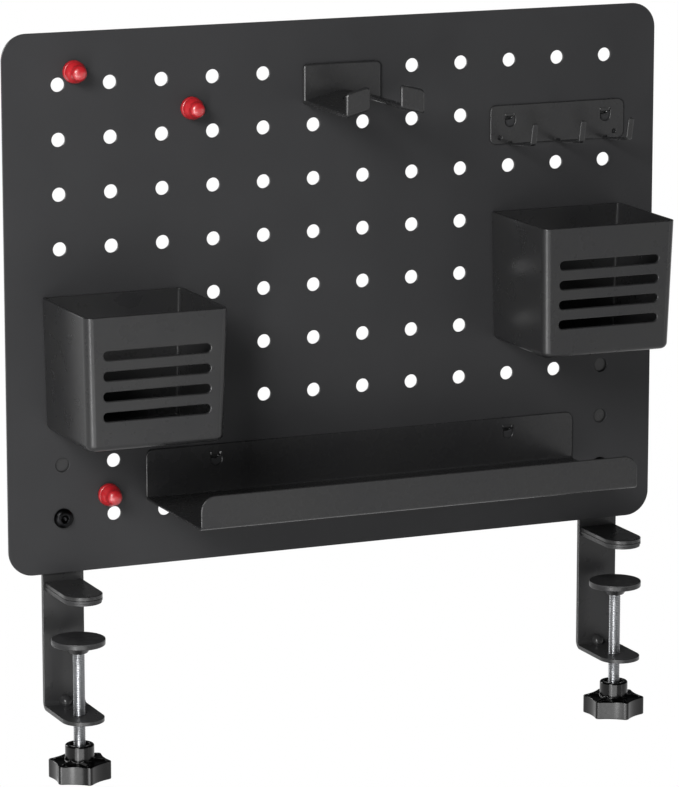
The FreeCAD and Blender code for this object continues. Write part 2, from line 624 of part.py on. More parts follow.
def saddle_edge(offset, y):
    """Edges of one face of the saddle: two slopes joined by a rounded ridge."""
    half = HOOK_W / 2.0
    slope = math.radians(HOOK_SLOPE)
    rise = offset / math.cos(slope)
    radius = HOOK_RIDGE_R + offset
    x_t = radius * math.sin(slope)
    z_t = saddle_z(x_t) + rise
    centre_z = z_t - radius * math.cos(slope)
    left = Part.LineSegment(V(-half, y, saddle_z(half) + rise), V(-x_t, y, z_t)).toShape()
    ridge = Part.Arc(V(-x_t, y, z_t), V(0, y, centre_z + radius), V(x_t, y, z_t)).toShape()
    right = Part.LineSegment(V(x_t, y, z_t), V(half, y, saddle_z(half) + rise)).toShape()
    return [left, ridge, right]


def saddle_face(lower, upper, y):
    """Face between two edges of the saddle, or between one and a straight upper line."""
    half = HOOK_W / 2.0
    bottom = saddle_edge(lower, y)
    if upper is None:
        top_z = row_z(HOOK_ROW) + HOOK_TOP
        top = [Part.LineSegment(V(-half, y, top_z), V(half, y, top_z)).toShape()]
    else:
        top = saddle_edge(upper, y)
    sides = [Part.LineSegment(bottom[i].Vertexes[j].Point, top[i].Vertexes[j].Point).toShape()
             for i, j in ((0, 0), (-1, 1))]
    return Part.Face(Part.Wire(Part.__sortEdges__(bottom + top + sides)))


def make_headphone_hook():
    """Plate, arched saddle split into two arms, and an upturned lip on each arm."""
    half = HOOK_W / 2.0
    y_back = BOARD_FRONT_Y - BACK_GAP
    y_plate = y_back - HOOK_T
    plate = saddle_face(0.0, None, y_plate).extrude(Y_AXIS * HOOK_T)
    top_z = row_z(HOOK_ROW) + HOOK_TOP
    for side in (-1, 1):
        plate = plate.cut(corner_cut(side * half, top_z, side, 1, HOOK_CORNER_R, y_plate - 1.0, y_back + 1.0))
    saddle = saddle_face(0.0, HOOK_T, HOOK_REACH_Y).extrude(Y_AXIS * (y_back - HOOK_REACH_Y))
    gap = half - HOOK_LIP_W
    notch = box(-gap, gap, HOOK_REACH_Y - 1.0, HOOK_NOTCH_FLOOR_Y - gap, HOOK_EDGE_Z - 5.0, HOOK_EDGE_Z + 30.0)
    notch = notch.fuse(rod(gap, V(0, HOOK_NOTCH_FLOOR_Y - gap, HOOK_EDGE_Z - 5.0), Z_AXIS, 35.0))
    hook = plate.fuse(saddle).removeSplitter()
    fold = [e for e in hook.Edges
            if abs(e.BoundBox.YMin - y_plate) < 0.01 and abs(e.BoundBox.YMax - y_plate) < 0.01
            and e.BoundBox.ZMax < HOOK_EDGE_Z + 14.0 and e.BoundBox.XLength > 1.0
            and e.BoundBox.ZMin > HOOK_EDGE_Z + 1.0]
    hook = hook.makeFillet(HOOK_FOLD_R, fold)
    hook = hook.cut(notch)
    for side in (-1, 1):
        outer = side * half
        inner = side * gap
        lip = [(outer, saddle_z(half)), (inner, saddle_z(gap)),
               (inner, saddle_z(gap) + HOOK_LIP_H), (outer, saddle_z(half) + HOOK_LIP_H)]
        lip = upright_prism(lip, HOOK_REACH_Y, HOOK_REACH_Y + HOOK_T)
        corners = [e for e in lip.Edges
                   if e.BoundBox.XLength < 0.01 and e.BoundBox.ZLength < 0.01
                   and e.BoundBox.ZMin > HOOK_EDGE_Z + 12.0]
        lip = lip.makeFillet(HOOK_CORNER_R, corners)
        hook = hook.fuse(lip)
    hook = hook.removeSplitter()
    front = [e for e in hook.Edges
             if e.BoundBox.YMax < HOOK_REACH_Y + 0.01 and e.BoundBox.ZMax < HOOK_EDGE_Z + 6.0
             and e.BoundBox.XLength > HOOK_LIP_W * 0.7]
    hook = hook.makeFillet(HOOK_FOLD_R, front)
    hook.translate(X_AXIS * HOOK_X)
    return hook.cut(make_hook_tabs())


def make_hook_tabs():
    """Two tongues welded into pockets in the back of the headphone hook."""
    root_y = BOARD_FRONT_Y - BACK_GAP - HOOK_TAB_POCKET
    return Part.makeCompound([
        hanging_tongue(column_x(c), row_z(HOOK_ROW), HOOK_TAB_T, root_y, None) for c in HOOK_COLUMNS])


# ---------------------------------------------------------------- key rail

def make_key_rail():
    """Plate with three upturned hooks cut from its lower edge and two lanced tongues."""
    centre = column_x(RAIL_COLUMNS[1])
    x0 = centre - RAIL_W / 2.0
    x1 = centre + RAIL_W / 2.0
    y1 = BOARD_FRONT_Y - BACK_GAP
    y0 = y1 - SHEET_T
    top = row_z(RAIL_ROW) + RAIL_TOP
    rail = upright_plate(x0, x1, RAIL_BOTTOM_Z, top, y0, y1, RAIL_CORNER_R)
    for x in (x0 + RAIL_PIN_HOLE_IN, x1 - RAIL_PIN_HOLE_IN):
        hole = rod(RAIL_PIN_HOLE_D / 2.0, V(x, y0 - 1.0, RAIL_BOTTOM_Z + RAIL_PIN_HOLE_UP), Y_AXIS, SHEET_T + 2.0)
        rail = rail.cut(hole)
    mid_y = y0 + SHEET_T / 2.0
    arm_z = RAIL_BOTTOM_Z - SHEET_T / 2.0 + 0.6
    path = [(mid_y, RAIL_BOTTOM_Z + 4.0), (mid_y, arm_z),
            (RAIL_HOOK_Y, arm_z + RAIL_HOOK_RISE), (RAIL_TIP_Y, RAIL_TIP_Z)]
    for column in RAIL_COLUMNS:
        x = column_x(column)
        hook = bent_sheet(path, RAIL_HOOK_BEND_R - SHEET_T, SHEET_T, x - RAIL_HOOK_W / 2.0, x + RAIL_HOOK_W / 2.0)
        for side in (-1, 1):
            hook = hook.cut(corner_cut(x + side * RAIL_HOOK_W / 2.0, RAIL_TIP_Z, side, 1, RAIL_TIP_R,
                                       RAIL_TIP_Y - 4.0, RAIL_HOOK_Y + 4.0))
        rail = rail.fuse(hook)
    rail = rail.removeSplitter()
    for column in (RAIL_COLUMNS[0], RAIL_COLUMNS[-1]):
        rail = lanced_tongue(rail, column_x(column), row_z(RAIL_ROW))
    return rail


# ---------------------------------------------------------------- magnetic push pins

def make_push_pin(place):
    """Turned pin body: wide base, waist and finger knob, with a pocket for its magnet."""
    def point(r, h):
        return V(r, -h, 0)
    groove = Part.makePolygon([point(*p) for p in PIN_BASE[-1:] + PIN_GROOVE]).Edges
    base = Part.makePolygon([point(0.0, 0.0)] + [point(*p) for p in PIN_BASE]).Edges
    body = Part.BSplineCurve()
    body.interpolate([point(*p) for p in PIN_BODY])
    axis = Part.LineSegment(point(*PIN_BODY[-1]), point(0.0, 0.0)).toShape()
    wire = Part.Wire(Part.__sortEdges__(base + groove + [body.toShape(), axis]))
    pin = Part.Face(wire).revolve(V(0, 0, 0), Y_AXIS, 360.0)
    pin = Part.Solid(pin.Shells[0]) if pin.ShapeType != "Solid" else pin
    pocket = rod(PIN_MAGNET_D / 2.0 + 0.05, V(0, -PIN_MAGNET_T - 0.1, 0), Y_AXIS, PIN_MAGNET_T + 1.0)
    pin = pin.cut(pocket)
    pin.translate(V(place[0], BOARD_FRONT_Y - BACK_GAP, place[1]))
    return pin


def make_magnet(place):
    """Disc magnet glued into the base of a pin."""
    y = BOARD_FRONT_Y - BACK_GAP - PIN_MAGNET_T - 0.1
    return rod(PIN_MAGNET_D / 2.0, V(place[0], y, place[1]), Y_AXIS, PIN_MAGNET_T)


# ---------------------------------------------------------------- assembly

def assemble():
    """Every node by name."""
    nodes = {"peg_board": make_board()}
    for side, column in zip(("left", "right"), CLAMP_COLUMNS):
        x = column_x(column)
        nodes["clamp_bracket_" + side] = make_bracket(x)
        nodes["upper_jaw_" + side] = make_upper_jaw(x)
        nodes["jaw_pad_" + side] = make_jaw_pad(x)
        nodes["foot_disc_" + side] = make_foot_disc(x)
        nodes["foot_pad_" + side] = make_foot_pad(x)
        nodes["clamp_screw_" + side] = make_clamp_screw(x)
        nodes["clamp_knob_" + side] = make_knob(x)
    places = fastener_places()
    nodes["bracket_screws"] = Part.makeCompound([make_button_screw(p) for p in places])
    nodes["bracket_washers"] = Part.makeCompound([make_washer(p) for p in places])
    nodes["bracket_nuts"] = Part.makeCompound([make_nut(p) for p in places])
    nodes["bin_left"] = make_bin(BIN_LEFT_HANG)
    nodes["bin_right"] = make_bin(BIN_RIGHT_HANG)
    nodes["tray"] = make_tray()
    nodes["headphone_hook"] = make_headphone_hook()
    nodes["headphone_hook_tabs"] = make_hook_tabs()
    nodes["key_rail"] = make_key_rail()
    for i, place in enumerate(PIN_PLACES, 1):
        nodes["push_pin_%d" % i] = make_push_pin(place)
        nodes["pin_magnet_%d" % i] = make_magnet(place)
    return nodes


os.makedirs("parts", exist_ok=True)
for name, shape in assemble().items():
    shape.exportStep("parts/" + name + ".step")
    solids = len(shape.Solids)
    valid = all(s.isValid() for s in shape.Solids)
    print("%-22s solids %d valid %s volume %.1f" % (name, solids, valid, shape.Volume))
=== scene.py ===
# %% [markdown]
# # Clamp-on pegboard desk organiser
#
# A black perforated steel board stands behind the rear edge of a desk on two screw clamps.
# Two bins, a tray, a headphone hook, a key rail and three push pins hang on it.  A packed
# model already holds each part in its place, on the body that it moves with.  This lesson
# gives the parts the edges, folds, threads and finishes that are seen.  Primitives and
# modifiers could do much of that.  Here nearly every surface is worked out as arrays of
# points instead, so that each radius is a number that can be read and changed.  Lengths are
# in millimetres until a mesh is made.

import math

import bmesh
import bpy
import numpy as np
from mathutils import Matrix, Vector
from mathutils.geometry import delaunay_2d_cdt


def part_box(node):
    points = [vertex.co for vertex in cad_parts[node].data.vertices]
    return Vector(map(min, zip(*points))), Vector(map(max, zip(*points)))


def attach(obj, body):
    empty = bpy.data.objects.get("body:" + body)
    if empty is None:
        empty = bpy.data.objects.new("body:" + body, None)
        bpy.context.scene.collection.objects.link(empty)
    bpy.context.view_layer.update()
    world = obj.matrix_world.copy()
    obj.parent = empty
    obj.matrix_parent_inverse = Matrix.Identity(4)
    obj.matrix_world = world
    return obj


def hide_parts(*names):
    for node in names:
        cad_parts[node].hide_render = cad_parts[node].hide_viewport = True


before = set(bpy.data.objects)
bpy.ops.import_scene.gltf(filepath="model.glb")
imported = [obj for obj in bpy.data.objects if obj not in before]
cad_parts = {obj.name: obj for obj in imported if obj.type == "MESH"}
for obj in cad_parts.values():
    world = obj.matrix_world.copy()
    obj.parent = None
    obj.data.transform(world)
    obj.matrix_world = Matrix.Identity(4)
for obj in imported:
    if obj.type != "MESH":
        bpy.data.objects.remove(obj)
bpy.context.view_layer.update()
MM = 0.001

# %% [markdown]
# ## Places
#
# The board is a grid of holes 38.1 mm apart, and all that hangs on it sits on that grid.
# Every place could be typed in by hand, but the pieces would drift apart as soon as one size
# changed.  So a node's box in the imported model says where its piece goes, and a column and a
# row of the grid say where its holes are.

# %% Grid of holes
PITCH = 38.1
COLUMNS = 12
ROWS = 9
GRID_MARGIN_Z = 39.1            # lower edge of the board to the lowest holes


def span(node):
    """Low and high corner of a CAD node's box in mm, as two arrays."""
    low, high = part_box(node)
    return np.array(low) / MM, np.array(high) / MM


BOARD_LOW, BOARD_HIGH = span("peg_board")
BOARD_T = BOARD_HIGH[1] - BOARD_LOW[1]


def column_x(column):
    """x of a column of holes: the pitch times its distance from the middle of the columns."""
    return (column - (COLUMNS - 1) / 2) * PITCH


def row_z(row):
    """z of a row, counted from the top: the lowest holes' height plus a pitch for each row."""
    return BOARD_LOW[2] + GRID_MARGIN_Z + (ROWS - 1 - row) * PITCH


print("board thickness", round(BOARD_T, 2), "first hole", column_x(0), round(row_z(0), 1))

# %% [markdown]
# ## Outlines
#
# Every sheet and panel of the real thing starts as a flat outline with round corners, as a
# punch or a laser leaves it.  It could be drawn as a Bezier curve, but an array of (u, v)
# points is easier to measure, move and bend.  A loop doesn't repeat its first point.  The
# material lies on its left, so an outer loop runs anticlockwise and a hole's loop clockwise.

# %% Arcs and rectangles


def arc(centre, radius, start, end, steps):
    """Points of an arc, both ends included: the centre plus the radius times the cosine and
    the sine of angles that run evenly from start to end, in degrees."""
    turn = np.radians(np.linspace(start, end, steps + 1))
    return np.stack([centre[0] + radius * np.cos(turn), centre[1] + radius * np.sin(turn)], 1)


def rounded(u0, u1, v0, v1, radii, steps=8):
    """Anticlockwise rectangle with a quarter arc of its own radius at each corner, in the
    order low-low, high-low, high-high, low-high.  A radius of 0 leaves the corner's point."""
    corners = ((u0, v0, 180), (u1, v0, 270), (u1, v1, 0), (u0, v1, 90))
    points = []
    for (u, v, start), r in zip(corners, radii):
        if r == 0:
            points.append(np.array([[u, v]]))
            continue
        centre = (u + (r if u == u0 else -r), v + (r if v == v0 else -r))
        points.append(arc(centre, r, start, start + 90, steps))
    return np.concatenate(points)


print("a rounded square has", len(rounded(0, 1, 0, 1, [0.2] * 4)), "points")

# %% Holes


def circle(u, v, radius, steps=40):
    """Clockwise circle, for a hole."""
    return arc((u, v), radius, 360, 360 / steps, steps - 1)


def slot(u0, u1, v, radius, steps=12):
    """Clockwise slot for a hole: two half circles, joined by straight sides."""
    left = arc((u0 + radius, v), radius, 270, 90, steps)
    right = arc((u1 - radius, v), radius, 90, -90, steps)
    return np.concatenate([left, right])


def window(u, v_flat, width, height, steps=14):
    """Clockwise D-shaped hole: flat at v_flat, and a half circle at its other end."""
    radius = width / 2
    end = arc((u, v_flat + height - radius), radius, 180, 0, steps)
    return np.concatenate([end, [[u + radius, v_flat], [u - radius, v_flat]]])


print("a circle has", len(circle(0, 0, 1)), "points, a slot", len(slot(-5, 5, 0, 1)))

# %% Inset
SHARPEST = 0.4                  # keeps the mitre of a very sharp corner from shooting out


def inset(loop, distance):
    """The loop moved into the material by a distance, with mitred corners: each point moves
    along the sum of its two edges' left normals, divided by that sum's reach along one."""
    ahead = np.roll(loop, -1, 0) - loop
    ahead /= np.linalg.norm(ahead, axis=1)[:, None]
    left = np.stack([-ahead[:, 1], ahead[:, 0]], 1)
    mitre = left + np.roll(left, 1, 0)
    mitre /= np.maximum(np.einsum("ij,ij->i", mitre, left), SHARPEST)[:, None]
    return loop + mitre * distance


trial = inset(rounded(0.0, 1.0, 0.0, 1.0, [0] * 4), 0.1)
print("a unit square inset by 0.1 starts at", trial[0].round(3))

# %% [markdown]
# ## Flat blanks
#
# Board, tray, rail, hook and brackets are cut from steel sheet, and a powder coat covers the
# cut edges.  A narrow chamfer stands for them, because its slanting face mirrors a lamp on
# the left and draws the bright rims.  Solidify and Bevel could make it from one flat face,
# but a hundred holes would leave ragged joints.  So each loop is carried through the
# thickness along a short profile, and only the faces between loops are triangulated.

# %% Chamfered edges
CUT_EDGE = 0.48                 # chamfer of a coated sheet's edges
CHAMFER = ((1.0, 0.0), (0.85, 0.04), (0.06, 0.50), (0.0, 0.62))  # inset and depth as shares of it


def edge_profile(thickness, edge):
    """(inset, w) from the front face over a chamfer with softened ends to the back face, w
    from +half to -half of the thickness.  The back half mirrors the front half."""
    front = np.array(CHAMFER) * (edge, -edge) + (0, thickness / 2)
    return np.concatenate([front, front[::-1] * (1, -1)])


def strip_faces(rings, count, first=0):
    """Quads between successive closed rings of count points each."""
    ring, i = np.meshgrid(np.arange(rings - 1), np.arange(count), indexing="ij")
    a = first + ring * count + i
    b = first + ring * count + (i + 1) % count
    return np.stack([a, b, b + count, a + count], -1).reshape(-1, 4).tolist()


print("edge profile has", len(edge_profile(1.5, CUT_EDGE)), "points")

# %% Flat sheet
INSIDE_ONLY = 1                 # the triangulation's own code: leave out what is outside the loops
SAME_POINT = 1e-7               # mm


def fill(loops):
    """Triangles between an outer loop and convex holes, indexed in the loops' own order: a
    Delaunay triangulation that keeps the loops' edges.  A triangle whose corners all lie on
    one hole's loop fills that hole, and is left out."""
    counts = np.array([len(loop) for loop in loops])
    owner = np.repeat(np.arange(len(loops)), counts)
    index = np.arange(len(owner))
    first = (np.cumsum(counts) - counts)[owner]
    onward = first + (index - first + 1) % counts[owner]
    points = [Vector(point) for point in np.concatenate(loops)]
    edges = np.column_stack([index, onward]).tolist()
    result = delaunay_2d_cdt(points, edges, [], INSIDE_ONLY, SAME_POINT)
    faces, origin = result[2], result[3]
    triangles = [tuple(origin[i][0] for i in face) for face in faces]
    return [t for t in triangles if not (owner[t[0]] and owner[t[0]] == owner[t[1]] == owner[t[2]])]


def flat_sheet(loops, thickness, edge, hole_edge):
    """Points (u, v, w) and faces of a flat sheet: every loop repeated at each step of the
    edge profile, and its first and last rings filled."""
    edges = [edge] + [hole_edge] * (len(loops) - 1)
    points, faces, front, back, used = [], [], [], [], 0
    for loop, width in zip(loops, edges):
        count = len(loop)
        profile = edge_profile(thickness, width)
        for distance, w in profile:
            points.append(np.column_stack([inset(loop, distance), np.full(count, w)]))
        faces += strip_faces(len(profile), count, used)
        front.append(np.arange(count) + used)
        back.append(np.arange(count) + used + count * (len(profile) - 1))
        used += count * len(profile)
    front, back = np.concatenate(front), np.concatenate(back)
    for triangle in fill([inset(loop, width) for loop, width in zip(loops, edges)]):
        faces.append([int(front[i]) for i in triangle])
        faces.append([int(back[i]) for i in reversed(triangle)])
    return np.concatenate(points), faces


trial = flat_sheet([rounded(0, 10, 0, 10, [1] * 4)], 1.5, CUT_EDGE, CUT_EDGE)
print("a plain 10 mm blank has", len(trial[1]), "faces")

# %% [markdown]
# ## Pieces
#
# On the real thing each part is one solid that moves as a whole.  Here it is one mesh with
# one finish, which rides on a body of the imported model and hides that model's plain node.
# Its place is written into its points, and its object stays at the origin, so that patterns
# in Object coordinates never slide.  Smooth shading would smear dark patches from narrow
# chamfers across wide flat faces.  A Weighted Normal modifier lets the wide faces decide.

# %% Meshes and pieces
CUT_SNAP = 1e-5                 # mm within which a point counts as on a cut
WELD = 2e-7                     # metres within which points become one
BY_AREA = 100                   # Weighted Normal's highest weight, for the largest faces


def to_mesh(name, points, faces, cuts=()):
    """Mesh from points and faces, cut by planes given as (axis, position)."""
    mesh = bpy.data.meshes.new(name)
    mesh.from_pydata(points.tolist(), [], faces)
    if not len(cuts):
        return mesh
    bm = bmesh.new()
    bm.from_mesh(mesh)
    for axis, position in cuts:
        normal = Vector((0, 0, 0))
        normal[axis] = 1
        parts = bm.verts[:] + bm.edges[:] + bm.faces[:]
        bmesh.ops.bisect_plane(bm, geom=parts, dist=CUT_SNAP, plane_co=normal * position, plane_no=normal)
    bm.to_mesh(mesh)
    bm.free()
    return mesh


def mesh_points(mesh):
    """Vertex coordinates as an array."""
    flat = np.empty(len(mesh.vertices) * 3)
    mesh.vertices.foreach_get("co", flat)
    return flat.reshape(-1, 3)


def place(mesh, points):
    """Give a mesh its final points in mm, weld seams, turn its faces outward and shade it."""
    mesh.vertices.foreach_set("co", (points * MM).ravel())
    bm = bmesh.new()
    bm.from_mesh(mesh)
    bmesh.ops.remove_doubles(bm, verts=bm.verts, dist=WELD)
    bmesh.ops.recalc_face_normals(bm, faces=bm.faces)
    bm.to_mesh(mesh)
    bm.free()
    mesh.shade_smooth()
    return mesh


def add_piece(mesh, body, material, stands_for=()):
    """Put a mesh in the scene as a piece that rides on a body."""
    piece = bpy.data.objects.new(mesh.name, mesh)
    bpy.context.scene.collection.objects.link(piece)
    mesh.materials.append(material)
    shading = piece.modifiers.new("even_shading", "WEIGHTED_NORMAL")
    shading.weight = BY_AREA
    shading.keep_sharp = False
    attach(piece, body)
    if stands_for:
        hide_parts(*stands_for)
    return piece


print("ready to dress", len(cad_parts), "nodes")

# %% [markdown]
# ## Folding
#
# Tray, hook, brackets and tongues are bent from flat blanks.  Each could be modelled in its
# final shape, but lengths and windows are simpler to lay out flat, as in a workshop.  So a
# blank is made in (u, v) with w through its thickness.  Then u stays x, v becomes distance
# along a fold line in the yz plane, and w goes along that line's normal.  Cuts across the
# blank at every facet of a bend let it turn.

# %% Fold line
BEND_STEPS = 10                 # facets in a bend


def fold_line(corners, radius):
    """Stations (v, y, z, angle) along (y, z) corners joined by bends of a centre-line radius.
    A straight run stops short of its corner by the radius times the tangent of half the turn,
    and the bend that follows is an arc round a centre one radius to the side."""
    corners = np.array(corners, float)
    stations = []
    travelled = 0.0
    here = corners[0]
    angle = math.atan2(*(corners[1] - corners[0])[::-1])
    for i in range(1, len(corners)):
        ahead = corners[i] - corners[i - 1]
        turn, setback = 0.0, 0.0
        if i < len(corners) - 1:
            onward = corners[i + 1] - corners[i]
            turn = math.remainder(math.atan2(onward[1], onward[0]) - angle, 2 * math.pi)
            setback = radius * math.tan(abs(turn) / 2)
        end = corners[i] - ahead / np.linalg.norm(ahead) * setback
        stations.append((travelled, *here, angle))
        travelled += np.linalg.norm(end - here)
        stations.append((travelled, *end, angle))
        here = end
        if turn:
            side = math.copysign(1, turn)
            centre = end + radius * side * np.array([-math.sin(angle), math.cos(angle)])
            for step in np.linspace(0, turn, BEND_STEPS + 1)[1:]:
                at = angle + step
                here = centre + radius * side * np.array([math.sin(at), -math.cos(at)])
                stations.append((travelled + abs(step) * radius, *here, at))
            travelled += abs(turn) * radius
            angle += turn
    return np.array(stations)


trial = fold_line([(0, 0), (10, 0), (10, 10)], 2)
print("an L of 10 by 10 mm, bent at radius 2, is", round(trial[-1, 0], 2), "mm long when flat")

# %% Folded sheet


def bend_cuts(line):
    """Where a blank is cut across so that it can follow the bends of a fold line."""
    inside = line[1:-1, 0]
    return [(1, v) for v in np.unique(inside.round(6))]


def fold(points, line):
    """Bend flat (u, v, w) points: y and z are the fold line's at distance v, less w times
    the sine of its angle in y and plus w times the cosine in z."""
    v, w = points[:, 1], points[:, 2]
    y, z, angle = (np.interp(v, line[:, 0], line[:, column]) for column in (1, 2, 3))
    return np.column_stack([points[:, 0], y - w * np.sin(angle), z + w * np.cos(angle)])


def folded_sheet(name, loops, thickness, line, edge=CUT_EDGE, hole_edge=None, cuts=(), warp=None):
    """A folded blank as a finished mesh; warp moves the folded points further."""
    points, faces = flat_sheet(loops, thickness, edge, hole_edge or edge)
    mesh = to_mesh(name, points, faces, bend_cuts(line) + list(cuts))
    flat = mesh_points(mesh)
    shaped = fold(flat, line)
    if warp is not None:
        shaped = warp(flat, shaped)
    return place(mesh, shaped)


print("blanks are bent in", BEND_STEPS, "facets to a bend")

# %% [markdown]
# ## Turned and faceted solids
#
# Pins and rivets are turned, and knobs and screw heads are moulded or pressed round an axis.
# Spin and Boolean modifiers could make them.  Rings of computed radii were chosen, because a
# ring may be a circle, a hexagon or a knob's outline, its height may vary round it, and rings
# of one count join without a cut.

# %% Solids of rings
HALF_RIGHT = math.sqrt(0.5)     # sine and cosine of 45 degrees
AXES = {
    "up": np.array([[1, 0, 0], [0, 1, 0], [0, 0, 1]], float),
    "forward": np.array([[1, 0, 0], [0, 0, 1], [0, -1, 0]], float),
    "back": np.array([[1, 0, 0], [0, 0, -1], [0, 1, 0]], float),
    "slant": np.array([[1, 0, 0], [0, HALF_RIGHT, -HALF_RIGHT], [0, -HALF_RIGHT, -HALF_RIGHT]]),
}


def angles(steps):
    """Angles of the steps round a ring, in radians."""
    return np.arange(steps) * 2 * math.pi / steps


def spun(name, radii, heights, centre, axis="up", turns=None, capped=True):
    """Closed mesh through rings of points.  A point is the radius times the cosine and sine
    of its turn, at its height along the axis.  The first and last rings are capped, or are
    the same ring."""
    radii = np.asarray(radii, float)
    heights = np.broadcast_to(heights, radii.shape)
    rings, steps = radii.shape
    turn = angles(steps) if turns is None else turns
    local = np.stack([radii * np.cos(turn), radii * np.sin(turn), heights], -1).reshape(-1, 3)
    faces = strip_faces(rings, steps)
    for start in (0, (rings - 1) * steps) if capped else ():
        if radii.ravel()[start] > 0:
            faces.append(list(range(start, start + steps)))
    points = local @ AXES[axis] + np.array(centre, float)
    return place(to_mesh(name, points, faces), points)


def lathe(name, profile, centre, axis="up", steps=96):
    """Turned solid from (radius, height) points."""
    profile = np.asarray(profile, float)
    radii = np.repeat(profile[:, :1], steps, 1)
    heights = np.repeat(profile[:, 1:], steps, 1)
    return spun(name, radii, heights, centre, axis)


def polygon_radius(sides, apothem, steps, turn=0.0):
    """Distance from the centre to a regular polygon's outline at each step: the apothem
    divided by the cosine of the angle from the middle of the nearest side."""
    sector = 2 * math.pi / sides
    off = (angles(steps) - math.radians(turn)) % sector - sector / 2
    return apothem / np.cos(off)


corners = 2 * polygon_radius(6, 5, 96).max()
print("a hexagon of 10 mm across flats has", round(corners, 2), "mm across corners")

# %% [markdown]
# ## Nodes
#
# A finish is a small tree of shader nodes.  Drawn by hand in the editor it can't be read in a
# script, and written out in full it repeats itself.  So one function adds any node with its
# settings and links.  On it stand a value that drifts in soft patches, and a whole finish:
# tone and gloss that drift, over relief too shallow to be worth modelling.

# %% Node helpers
NOISE_LOW, NOISE_HIGH = 0.3, 0.7    # most of a noise texture's values lie between these
FACTOR, FIRST, SECOND, MIXED = 0, 6, 7, 2   # numbers of the Mix node's sockets for colours


def linear(code):
    """Linear RGBA of an sRGB hex colour: each channel c is (c + 0.055) / 1.055 raised to 2.4,
    or c / 12.92 where it is very dark."""
    channels = [int(code[i:i + 2], 16) / 255 for i in (1, 3, 5)]
    return [c / 12.92 if c <= 0.04045 else ((c + 0.055) / 1.055) ** 2.4 for c in channels] + [1]


def feed(tree, node, inputs):
    """Give a node's inputs, by name or number, a socket to link or a constant."""
    for key, value in dict(inputs).items():
        if isinstance(value, bpy.types.NodeSocket):
            tree.links.new(value, node.inputs[key])
        else:
            node.inputs[key].default_value = value


def add(tree, kind, inputs=(), **settings):
    """Add a node with its own settings, and feed its inputs."""
    node = tree.nodes.new("ShaderNode" + kind)
    for key, value in settings.items():
        setattr(node, key, value)
    feed(tree, node, inputs)
    return node


print("mid grey #808080 is", round(linear("#808080")[0], 3), "in linear light")

# %% Patterns


def new_material(name):
    """Empty material: its tree, its shader, and Object coordinates in millimetres."""
    material = bpy.data.materials.new(name)
    material.use_nodes = True
    tree = material.node_tree
    position = add(tree, "TexCoord").outputs["Object"]
    scaled = add(tree, "VectorMath", {0: position, "Scale": 1 / MM}, operation="SCALE")
    return material, tree, tree.nodes["Principled BSDF"], scaled.outputs["Vector"]


def grains(where, size, octaves, weight=0.5):
    """What a noise texture is fed for grains of size mm, with octaves of ever finer ones in
    them, each with a share (the weight) of the last one's strength."""
    return {"Vector": where, "Scale": 1 / size, "Detail": octaves, "Roughness": weight}


def drift(tree, where, patches, low, high):
    """Value that wanders from low to high: low plus the noise's share of its usual range
    times the difference."""
    noise = add(tree, "TexNoise", grains(where, *patches))
    inputs = {"Value": noise.outputs["Fac"], "From Min": NOISE_LOW, "From Max": NOISE_HIGH,
              "To Min": low, "To Max": high}
    return add(tree, "MapRange", inputs).outputs["Result"]


def make_finish(name, dark, light, tone, roughness, wear, *reliefs, **levels):
    """Material whose colour drifts from dark to light in patches of tone, and its roughness
    over a range in patches of wear.  Each relief is (depth in mm, grains) and lies on the one
    before it.  Levels are constants on the shader's own inputs, named with _ for a space."""
    material, tree, shader, where = new_material(name)
    shade = {FACTOR: drift(tree, where, tone, 0, 1), FIRST: linear(dark), SECOND: linear(light)}
    inputs = {"Base Color": add(tree, "Mix", shade, data_type="RGBA").outputs[MIXED],
              "Roughness": drift(tree, where, wear, *roughness)}
    for depth, relief in reliefs:
        noise = add(tree, "TexNoise", grains(where, *relief))
        bump = {"Height": noise.outputs["Fac"], "Distance": depth * MM, "Strength": 1.0}
        if "Normal" in inputs:
            bump["Normal"] = inputs["Normal"]
        inputs["Normal"] = add(tree, "Bump", bump).outputs["Normal"]
    inputs.update((socket.replace("_", " "), value) for socket, value in levels.items())
    feed(tree, shader, inputs)
    return material


print("patterns are scaled by", 1 / MM, "from metres to millimetres")

# %% [markdown]
# ## Powder coat
#
# The steel sheets are dusted with polyester powder and baked.  The powder melts and flows
# out, but not quite flat.  That leaves an orange peel about a millimetre wide, which the eye
# reads as soft, slightly uneven reflections without a sharp lamp in them.  An image of it
# could be tiled over the sheets, but noise has no seams at the folds.  Its index of
# refraction is near the shader's own 1.5, and the matting agent lowers its shine.

# %% Coated sheets
COAT_TONE = (60.0, 2)           # grain in mm and octaves: the film is thicker here and there
COAT_WEAR = (9.0, 4)            # where hands have rubbed it
COAT_PEEL = (0.002, (1.1, 1))   # depth in mm, and grain
COAT_GRAIN = (0.0003, (0.28, 1))    # the real grain is near 0.1 mm, and is drawn coarser to show


def powder_coat(name, dark, light, roughness, shine):
    """Baked powder coat: orange peel with a finer grain in it, and a trace of colour drift."""
    return make_finish(name, dark, light, COAT_TONE, roughness, COAT_WEAR, COAT_PEEL, COAT_GRAIN,
                       Specular_IOR_Level=shine)


# Flat black, which keeps the wide board even and lets nothing but its rims shine.
BOARD_COAT = powder_coat("matte_black_powder_coat_board", "#313132", "#343435", (0.36, 0.44), 0.12)
# Satin black, which shows a soft glow on noses and folds.
CLAMP_COAT = powder_coat("satin_black_powder_coat_clamp", "#29292a", "#2c2c2c", (0.26, 0.32), 0.3)
ACCESSORY_COAT = powder_coat("satin_black_powder_coat_accessory", "#262627", "#292929", (0.24, 0.30), 0.32)
print("coats:", BOARD_COAT.name, CLAMP_COAT.name, ACCESSORY_COAT.name)

